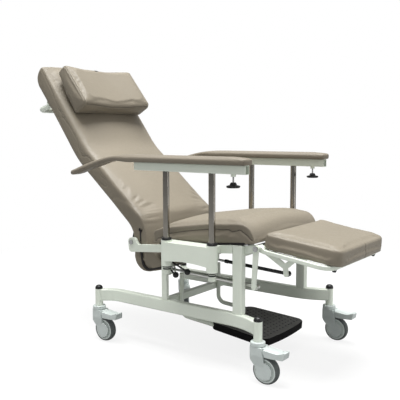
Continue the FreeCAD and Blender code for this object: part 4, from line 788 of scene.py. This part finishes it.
def stitches(name, obj, paths, aside, body):
    """Raised thread in short stitches beside each seam, lying on the cover."""
    tree = BVHTree.FromObject(obj, bpy.context.evaluated_depsgraph_get())
    work = bmesh.new()
    hop = max(1, round(STITCH_PITCH / SEAM_STEP))
    shape = Matrix.Diagonal((STITCH_LENGTH / 2, THREAD_R, THREAD_R, 1))
    for path in paths:
        for shift in aside:
            for i in range(2, len(path) - 2, hop):
                along = Vector(path[i + 1] - path[i - 1]).normalized()
                spot, normal, _, _ = tree.find_nearest(Vector(path[i]))
                sideways = normal.cross(along).normalized()
                spot, normal, _, _ = tree.find_nearest(spot + sideways * shift)
                along = (along - normal * along.dot(normal)).normalized()
                sideways = normal.cross(along)
                turn = Matrix((along, sideways, normal)).transposed().to_4x4()
                place = Matrix.Translation(spot + normal * THREAD_R * THREAD_RISE) @ turn
                bmesh.ops.create_icosphere(work, subdivisions=1, radius=1, matrix=place @ shape)
    mesh = bpy.data.meshes.new(name)
    work.to_mesh(mesh)
    work.free()
    shade_smooth(mesh)
    added(name, mesh, ["thread"], body)


def finish_soft(obj, finish, body, fill, *nodes):
    """Makes a cover stand for its CAD nodes: gives it its finish, hides the nodes and sets it on a body."""
    obj.data.materials.clear()
    obj.data.materials.append(FINISH[finish])
    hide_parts(*nodes)
    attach(obj, body)


# How far down a face has to look to be held, and the share over which the hold grows full
DOWNWARD_FROM = 0.35
DOWNWARD_FADE = 0.4


def underside(points, normals):
    """Where a cushion rests on its board, and so stays flat."""
    return np.clip((-normals[:, 2] - DOWNWARD_FROM) / DOWNWARD_FADE, 0, 1)


# Seat cushion: a top panel rolled over the front edge, and a flat sewn band on each side
SEAT_SIDE = (
    (-0.5200, 0.4352, 0.010),
    (-0.5225, 0.4890, 0.020),
    (-0.4680, 0.5085, 0.080),
    (-0.2580, 0.5405, 0.200),
    (-0.0580, 0.5575, 0.072),
    (-0.0365, 0.4838, 0.010),
)
SEAT_HALF = 0.2530
SEAT_EDGE = 0.005
SEAT_SLOPE = 0.0998
SEAT_SEAM_IN = 0.0035
SEAT_SEAM_LOW = 0.012

# Crown of the seat: its height, and where and over what length it dies out
SEAT_CROWN = 0.021
SEAT_CROWN_POWER = 2.2
SEAT_CROWN_RISE = 0.06
SEAT_CROWN_FRONT = -0.035
SEAT_CROWN_REAR = -0.53
SEAT_CROWN_FADE = 0.10
SEAT_FADE_POWER = 0.7


def seat_height(x, z):
    """Height over the sloping underside."""
    heel_x, heel_z, _ = SEAT_SIDE[0]
    return z - heel_z - SEAT_SLOPE * (x - AXIS - heel_x)


def seat_rings():
    line = rounded_line([(AXIS + x, z, radius) for x, z, radius in SEAT_SIDE])
    turn = inward(line)
    flat = SEAT_HALF - SEAT_EDGE
    ends = []
    for a in np.linspace(0, math.pi / 2, 6):
        ends.append((flat + SEAT_EDGE * math.sin(a), SEAT_EDGE * (1 - math.cos(a))))
    middle = [(y, 0.0) for y in np.linspace(-flat, flat, 41)[1:-1]]
    stations = [(-y, inset) for y, inset in reversed(ends)] + middle + ends
    rings = []
    for y, inset in stations:
        ring = line + turn * inset
        x, z = ring.T
        arch = SEAT_CROWN * (1 - abs(y / SEAT_HALF) ** SEAT_CROWN_POWER)
        share = np.clip(seat_height(x, z) / SEAT_CROWN_RISE, 0, 1)
        share *= np.clip((AXIS + SEAT_CROWN_FRONT - x) / SEAT_CROWN_FADE, 0, 1) ** SEAT_FADE_POWER
        share *= np.clip((x - AXIS - SEAT_CROWN_REAR) / SEAT_CROWN_FADE, 0, 1) ** SEAT_FADE_POWER
        rings.append(np.stack([x, np.full(len(ring), y), z + arch * share], axis=1))
    return rings


seat = skinned("seat_cushion_cover", seat_rings(), voxel=0.005)
puffed(seat, cap=0.0045, shrink=0.003, held=underside)
finer(seat)
seat_seams = []
for sign in (-1, 1):
    loop = section(seat, sign * (SEAT_HALF - SEAT_SEAM_IN))
    seat_seams += runs(loop, lambda p: seat_height(p.x, p.z) > SEAT_SEAM_LOW)
groove(seat, seat_seams, depth=0.0026, width=0.003)
crease("seat_seams", seat, seat_seams, "base")
stitches("seat_stitching", seat, seat_seams, [STITCH_ASIDE], "base")
finish_soft(seat, "upholstery", "base", 0.9, "seat_cushion")

# Leg rest cushion, drawn in towards its front, with a join down the middle of the front. Its
# places count ahead of the hinge (u), across (y) and up from the hinge's line (v).
LEG_HINGE = Vector(JOINTS["leg_lift"]["pos_m"])
LEG_SLOPE = math.radians(7.5)
LEG_PLAN = (
    (0.0130, -0.2250, 0.018),
    (0.3110, -0.2090, 0.040),
    (0.3110, 0.1950, 0.050),
    (0.0130, 0.2210, 0.018),
)
LEG_LOW = 0.0014
LEG_TOP = 0.0625
LEG_TOE = 0.004
LEG_RIM = 0.013
LEG_BULGE = 0.0015
LEG_CROWN = 0.006

# Near the hinge its underside stands higher: height, where that ends, and over what length
LEG_HEEL_CLEAR = 0.0088
LEG_HEEL_END = 0.030
LEG_HEEL_FADE = 0.006

LEG_SEAM_U = (0.03, 0.268)
LEG_SEAM_Y = (0.2180, 0.2000)
LEG_SEAM_V = 0.0578
LEG_SEAM_POINTS = 90
LEG_JOIN_Y = 0.002
LEG_JOIN_U = 0.298
LEG_JOIN_V = 0.004


def leg_place(u, y, v):
    x = LEG_HINGE.x + u * math.cos(LEG_SLOPE) + v * math.sin(LEG_SLOPE)
    z = LEG_HINGE.z - u * math.sin(LEG_SLOPE) + v * math.cos(LEG_SLOPE)
    return np.stack([x, y, z], axis=1)


def on_leg_front(p):
    x = p.x - LEG_HINGE.x
    z = p.z - LEG_HINGE.z
    u = x * math.cos(LEG_SLOPE) - z * math.sin(LEG_SLOPE)
    v = x * math.sin(LEG_SLOPE) + z * math.cos(LEG_SLOPE)
    return u > LEG_JOIN_U and v > LEG_JOIN_V


def leg_levels():
    """Heights of the rings up the sides, each with its inset from the plan."""
    levels = []
    for a in np.linspace(0, math.pi / 2, 4):
        levels.append((LEG_LOW + LEG_TOE * (1 - math.cos(a)), LEG_TOE * (1 - math.sin(a))))
    for t in np.linspace(0, 1, 7)[1:-1]:
        rise = (LEG_TOP - LEG_RIM - LEG_LOW - LEG_TOE) * t
        levels.append((LEG_LOW + LEG_TOE + rise, -LEG_BULGE * math.sin(math.pi * t)))
    for a in np.linspace(0, math.pi / 2, 6):
        levels.append((LEG_TOP - LEG_RIM + LEG_RIM * math.sin(a), LEG_RIM * (1 - math.cos(a))))
    return levels


def leg_rings():
    line = rounded_line(LEG_PLAN)
    turn = inward(line)
    rings = []
    for v, inset in leg_levels():
        u, y = (line + turn * inset).T
        clear = LEG_HEEL_CLEAR * (1 - np.clip((u - LEG_HEEL_END) / LEG_HEEL_FADE, 0, 1))
        rings.append(leg_place(u, y, np.maximum(v, clear)))
    middle = line.mean(axis=0)
    top = line + turn * LEG_RIM
    for share in (0.9, 0.75, 0.55, 0.3, 0.06):
        u, y = (middle + (top - middle) * share).T
        rings.append(leg_place(u, y, np.full(len(u), LEG_TOP + LEG_CROWN * (1 - share ** 2))))
    return rings


leg = skinned("leg_cushion_cover", leg_rings(), voxel=0.005)
puffed(leg, cap=0.004, shrink=0.0025, held=underside)
finer(leg)
leg_seams = []
for sign in (-1, 1):
    u = np.linspace(*LEG_SEAM_U, LEG_SEAM_POINTS)
    y = np.linspace(*LEG_SEAM_Y, LEG_SEAM_POINTS) * sign
    leg_seams.append(spaced(leg_place(u, y, np.full(LEG_SEAM_POINTS, LEG_SEAM_V))))
leg_join = runs(section(leg, LEG_JOIN_Y), on_leg_front)
groove(leg, leg_seams + leg_join, depth=0.0018, width=0.003)
crease("leg_seam", leg, leg_join, "leg_rest")
stitches("leg_stitching", leg, leg_seams, [STITCH_ASIDE], "leg_rest")
finish_soft(leg, "upholstery", "leg_rest", 0.9, "leg_cushion", "leg_board")

# Backrest: one cover round the front foam and the rear shell, open at the core board's lower edge
BACK_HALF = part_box("back_cushion")[1].y
BACK_SEAM_IN = 0.0045
BACK_SEAM_LOW = 0.47

# Heights from which its flat sides, and its lower end, are held, and the depths over which the
# hold grows full
HINGE_HELD = 0.62
HINGE_HELD_FADE = 0.08
TOE_HELD = 0.40
TOE_HELD_FADE = 0.03
SIDEWAYS_FROM = 0.6
SIDEWAYS_FADE = 0.3

# Slit in which the core board shows: top and side of the board's bare edge, and the draw-in there
SLIT_TOP = 0.487
SLIT_SIDE = 0.2435
SLIT_DEPTH = 0.006
SLIT_WIDTH = 0.009
SLIT_REACH = 0.02
SLIT_COVER_SIDE = 0.225
SLIT_COVER_TOP = 0.5


def hinge_sides(points, normals):
    flat = np.clip((np.abs(normals[:, 1]) - SIDEWAYS_FROM) / SIDEWAYS_FADE, 0, 1)
    low = np.clip((HINGE_HELD - points[:, 2]) / HINGE_HELD_FADE, 0, 1)
    toe = np.clip((TOE_HELD - points[:, 2]) / TOE_HELD_FADE, 0, 1)
    return np.maximum(flat * low, toe)


def bare_board(obj):
    """Draws the cover in along the core board's lower edge, so that the board shows there."""
    corners = [v.co for v in NODES["back_board"].data.vertices]
    edge = [co for co in corners if co.z < SLIT_TOP and abs(co.y) > SLIT_SIDE]
    tree = KDTree(len(edge))
    for index, point in enumerate(edge):
        tree.insert(point, index)
    tree.balance()
    points = points_of(obj)
    for index, point in enumerate(points):
        if abs(point[1]) < SLIT_COVER_SIDE or point[2] > SLIT_COVER_TOP:
            continue
        gap = tree.find(point)[2]
        if gap < SLIT_REACH:
            draw = SLIT_DEPTH * math.exp(-((gap / SLIT_WIDTH) ** 2))
            points[index][1] -= math.copysign(draw, point[1])
    set_points(obj, points)


back = cover_of("backrest_cover", ["back_cushion", "back_panel", "back_board"], voxel=0.006)
puffed(back, cap=0.005, shrink=0.003, held=hinge_sides)
finer(back)
back_seams = []
for sign in (-1, 1):
    loop = section(back, sign * (BACK_HALF - BACK_SEAM_IN))
    back_seams += runs(loop, lambda p: p.z > BACK_SEAM_LOW)
groove(back, back_seams, depth=0.0018, width=0.0035)
stitches("back_stitching", back, back_seams, [STITCH_ASIDE], "backrest")
bare_board(back)
finish_soft(back, "upholstery", "backrest", 0.85, "back_cushion", "back_panel")

# Head pillow, with a seam round each end and one along its lower front edge
PILLOW_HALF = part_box("back_pillow")[1].y
PILLOW_SEAM_IN = 0.006
PILLOW_LIP_IN = 0.012
PILLOW_LIP_WAY = (0.86, 0.0, -0.5)
CREST_STEP = 0.006
CREST_REACH = 0.004


def all_free(points, normals):
    return np.zeros(len(points))


def crest(obj, way, half):
    """Line across the piece through the points that lie furthest along way."""
    points = points_of(obj)
    far = points @ np.array(way)
    line = []
    for y in np.arange(-half, half, CREST_STEP):
        near = np.abs(points[:, 1] - y) < CREST_REACH
        line.append(tuple(points[near][np.argmax(far[near])]))
    return spaced(line)


pillow = cover_of("head_pillow", ["back_pillow"], voxel=0.005)
puffed(pillow, cap=0.005, shrink=0.003, held=all_free)
finer(pillow)
pillow_ends = []
for sign in (-1, 1):
    pillow_ends.append(spaced(section(pillow, sign * (PILLOW_HALF - PILLOW_SEAM_IN))))
pillow_lip = crest(pillow, PILLOW_LIP_WAY, PILLOW_HALF - PILLOW_LIP_IN)
pillow_seams = [*pillow_ends, pillow_lip]
groove(pillow, pillow_seams, depth=0.002, width=0.003)
crease("pillow_seams", pillow, [pillow_lip], "backrest")
stitches("pillow_stitching", pillow, pillow_seams, [-STITCH_ASIDE, STITCH_ASIDE], "backrest")
finish_soft(pillow, "upholstery", "backrest", 0.8, "back_pillow")

# Arm pads
for side in SIDES:
    node = "arm_pad_" + side
    pad = cover_of("arm_cushion_" + side, [node], voxel=0.004)
    puffed(pad, cap=0.0025, shrink=0.0015, held=underside)
    finer(pad)
    finish_soft(pad, "arm_cover", "arm_" + side, 1.0, node)


# Straps that hold the pillow, over the top of the backrest
STRAP_W = 0.020
STRAP_T = 0.0018
STRAP_LIFT = 0.001
STRAP_REACH = 0.016
STRAP_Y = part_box("pillow_straps")[1].y - STRAP_W / 2


def ribbon(name, path, normals, body):
    """Flat webbing along a path, with rounded edges."""
    half = STRAP_W / 2
    up = STRAP_T / 2
    upper = [(-half, 0), (-half + up, up), (half - up, up)]
    ring = upper + [(-across, -height) for across, height in upper]
    verts = []
    for point, normal in zip(path, normals):
        for across, height in ring:
            x = point[0] + normal[0] * height
            z = point[2] + normal[2] * height
            verts.append((x, point[1] + across, z))
    size = len(ring)
    faces = ring_faces(0, len(path), size)
    faces.append(tuple(reversed(range(size))))
    faces.append(tuple((len(path) - 1) * size + j for j in range(size)))
    return added(name, built(name, verts, faces), ["webbing"], body)


strap_solids = BVHTree.FromObject(NODES["pillow_straps"], bpy.context.evaluated_depsgraph_get())
for side, sign in zip(SIDES, (-1, 1)):
    loop = section(back, sign * STRAP_Y)
    path = max(runs(loop, lambda p: strap_solids.find_nearest(p)[3] < STRAP_REACH), key=len)
    step = np.gradient(path, axis=0)
    out = np.stack([step[:, 2], np.zeros(len(step)), -step[:, 0]], axis=1)
    out /= np.linalg.norm(out, axis=1)[:, None]
    if ((path - path.mean(axis=0)) * out).sum() < 0:
        path = path[::-1]
        out = -out[::-1]
    band = ribbon("pillow_strap_" + side, path + out * STRAP_LIFT, out, "backrest")
    if side == "right":
        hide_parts("pillow_straps")


# Pieces round the arm posts: a pale end cap with a black ring, and a black wiper on each sleeve
TURNED_AROUND = 40


def turned_piece(name, rings, places, finishes, body):
    """Revolved pieces, one at each place. A ring is its height, its radius, and which of the
    finishes the band above it takes."""
    verts = []
    faces = []
    index = []
    for x, y in places:
        first = len(verts)
        for height, radius, _ in rings:
            for k in range(TURNED_AROUND):
                angle = 2 * math.pi * k / TURNED_AROUND
                verts.append((x + radius * math.cos(angle), y + radius * math.sin(angle), height))
        faces += ring_faces(first, len(rings), TURNED_AROUND)
        faces.append(tuple(first + k for k in reversed(range(TURNED_AROUND))))
        for _, _, finish in rings[:-1]:
            index += [finish] * TURNED_AROUND
        index.append(rings[0][2])
    mesh = built(name, verts, faces)
    added(name, mesh, finishes, body)
    for face, finish in zip(mesh.polygons, index):
        face.material_index = finish


POST_X = (AXIS - 0.4026, AXIS - 0.1881)
POST_Y = 0.3063
CAP_RINGS = (
    (0.3390, 0.0115, 0),
    (0.3393, 0.0132, 0),
    (0.3402, 0.0142, 0),
    (0.3418, 0.0146, 0),
    (0.3570, 0.0146, 0),
    (0.3578, 0.0140, 1),
    (0.3580, 0.0147, 1),
    (0.3586, 0.0152, 1),
    (0.3622, 0.0152, 1),
    (0.3628, 0.0147, 1),
    (0.3629, 0.0136, 0),
    (0.3634, 0.0141, 0),
    (0.3656, 0.0141, 0),
    (0.3660, 0.0126, 0),
)
WIPER_RINGS = (
    (0.4722, 0.0190, 0),
    (0.4728, 0.0197, 0),
    (0.4790, 0.0197, 0),
    (0.4808, 0.0190, 0),
    (0.4818, 0.0172, 0),
    (0.4822, 0.0140, 0),
    (0.4815, 0.0126, 0),
)
for side, sign in zip(SIDES, (-1, 1)):
    spots = [(x, sign * POST_Y) for x in POST_X]
    arm = "arm_" + side
    turned_piece("post_wipers_" + side, WIPER_RINGS, spots, ["black_plastic"], "base")
    turned_piece("post_caps_" + side, CAP_RINGS, spots, ["frame_paint", "black_plastic"], arm)


# Anti-slip studs on the footplate, in staggered rows wherever its top is flat
STUD_PITCH = 0.0235
STUD_ROW_SHARE = 0.9
STUD_ROWS = 6
STUD_COLUMNS = 7
STUD_CLEAR = 0.013
STUD_LOW_R = 0.0042
STUD_TOP_R = 0.0026
STUD_H = 0.0018
STUD_RISE = 0.0007
PROBE_UP = 0.02
PROBE_LENGTH = 0.022
PROBE_FLAT = 0.0205
PLATE_FLAT_COSINE = 0.99
PLATE_AHEAD = Vector((PLATE_UP.z, 0, -PLATE_UP.x))


def on_flat_plate(tree, centre):
    """True where the plate's top is flat all round a stud."""
    for ahead, across in ((STUD_CLEAR, 0), (-STUD_CLEAR, 0), (0, STUD_CLEAR), (0, -STUD_CLEAR)):
        probe = centre + PLATE_AHEAD * ahead + Vector((0, across, 0)) + PLATE_UP * PROBE_UP
        spot, normal, _, depth = tree.ray_cast(probe, -PLATE_UP, PROBE_LENGTH)
        if spot is None or depth >= PROBE_FLAT or normal.dot(PLATE_UP) <= PLATE_FLAT_COSINE:
            return False
    return True


def footplate_studs():
    middle = Vector(MOUNTS["footplate_top"]["pos_m"])
    tree = BVHTree.FromObject(NODES["footplate"], bpy.context.evaluated_depsgraph_get())
    turn = Matrix((PLATE_AHEAD, Vector((0, 1, 0)), PLATE_UP)).transposed().to_4x4()
    stud = {"cap_ends": True, "segments": 14, "radius1": STUD_LOW_R, "radius2": STUD_TOP_R, "depth": STUD_H}
    work = bmesh.new()
    for row in range(-STUD_ROWS, STUD_ROWS + 1):
        for column in range(-STUD_COLUMNS, STUD_COLUMNS + 1):
            across = (column + (0.5 if row % 2 else 0)) * STUD_PITCH
            centre = middle + PLATE_AHEAD * row * STUD_PITCH * STUD_ROW_SHARE + Vector((0, across, 0))
            if on_flat_plate(tree, centre):
                place = Matrix.Translation(centre) @ turn @ Matrix.Translation((0, 0, STUD_RISE))
                bmesh.ops.create_cone(work, matrix=place, **stud)
    mesh = bpy.data.meshes.new("footplate_studs")
    work.to_mesh(mesh)
    work.free()
    added("footplate_studs", mesh, ["black_plastic"], "base")


footplate_studs()
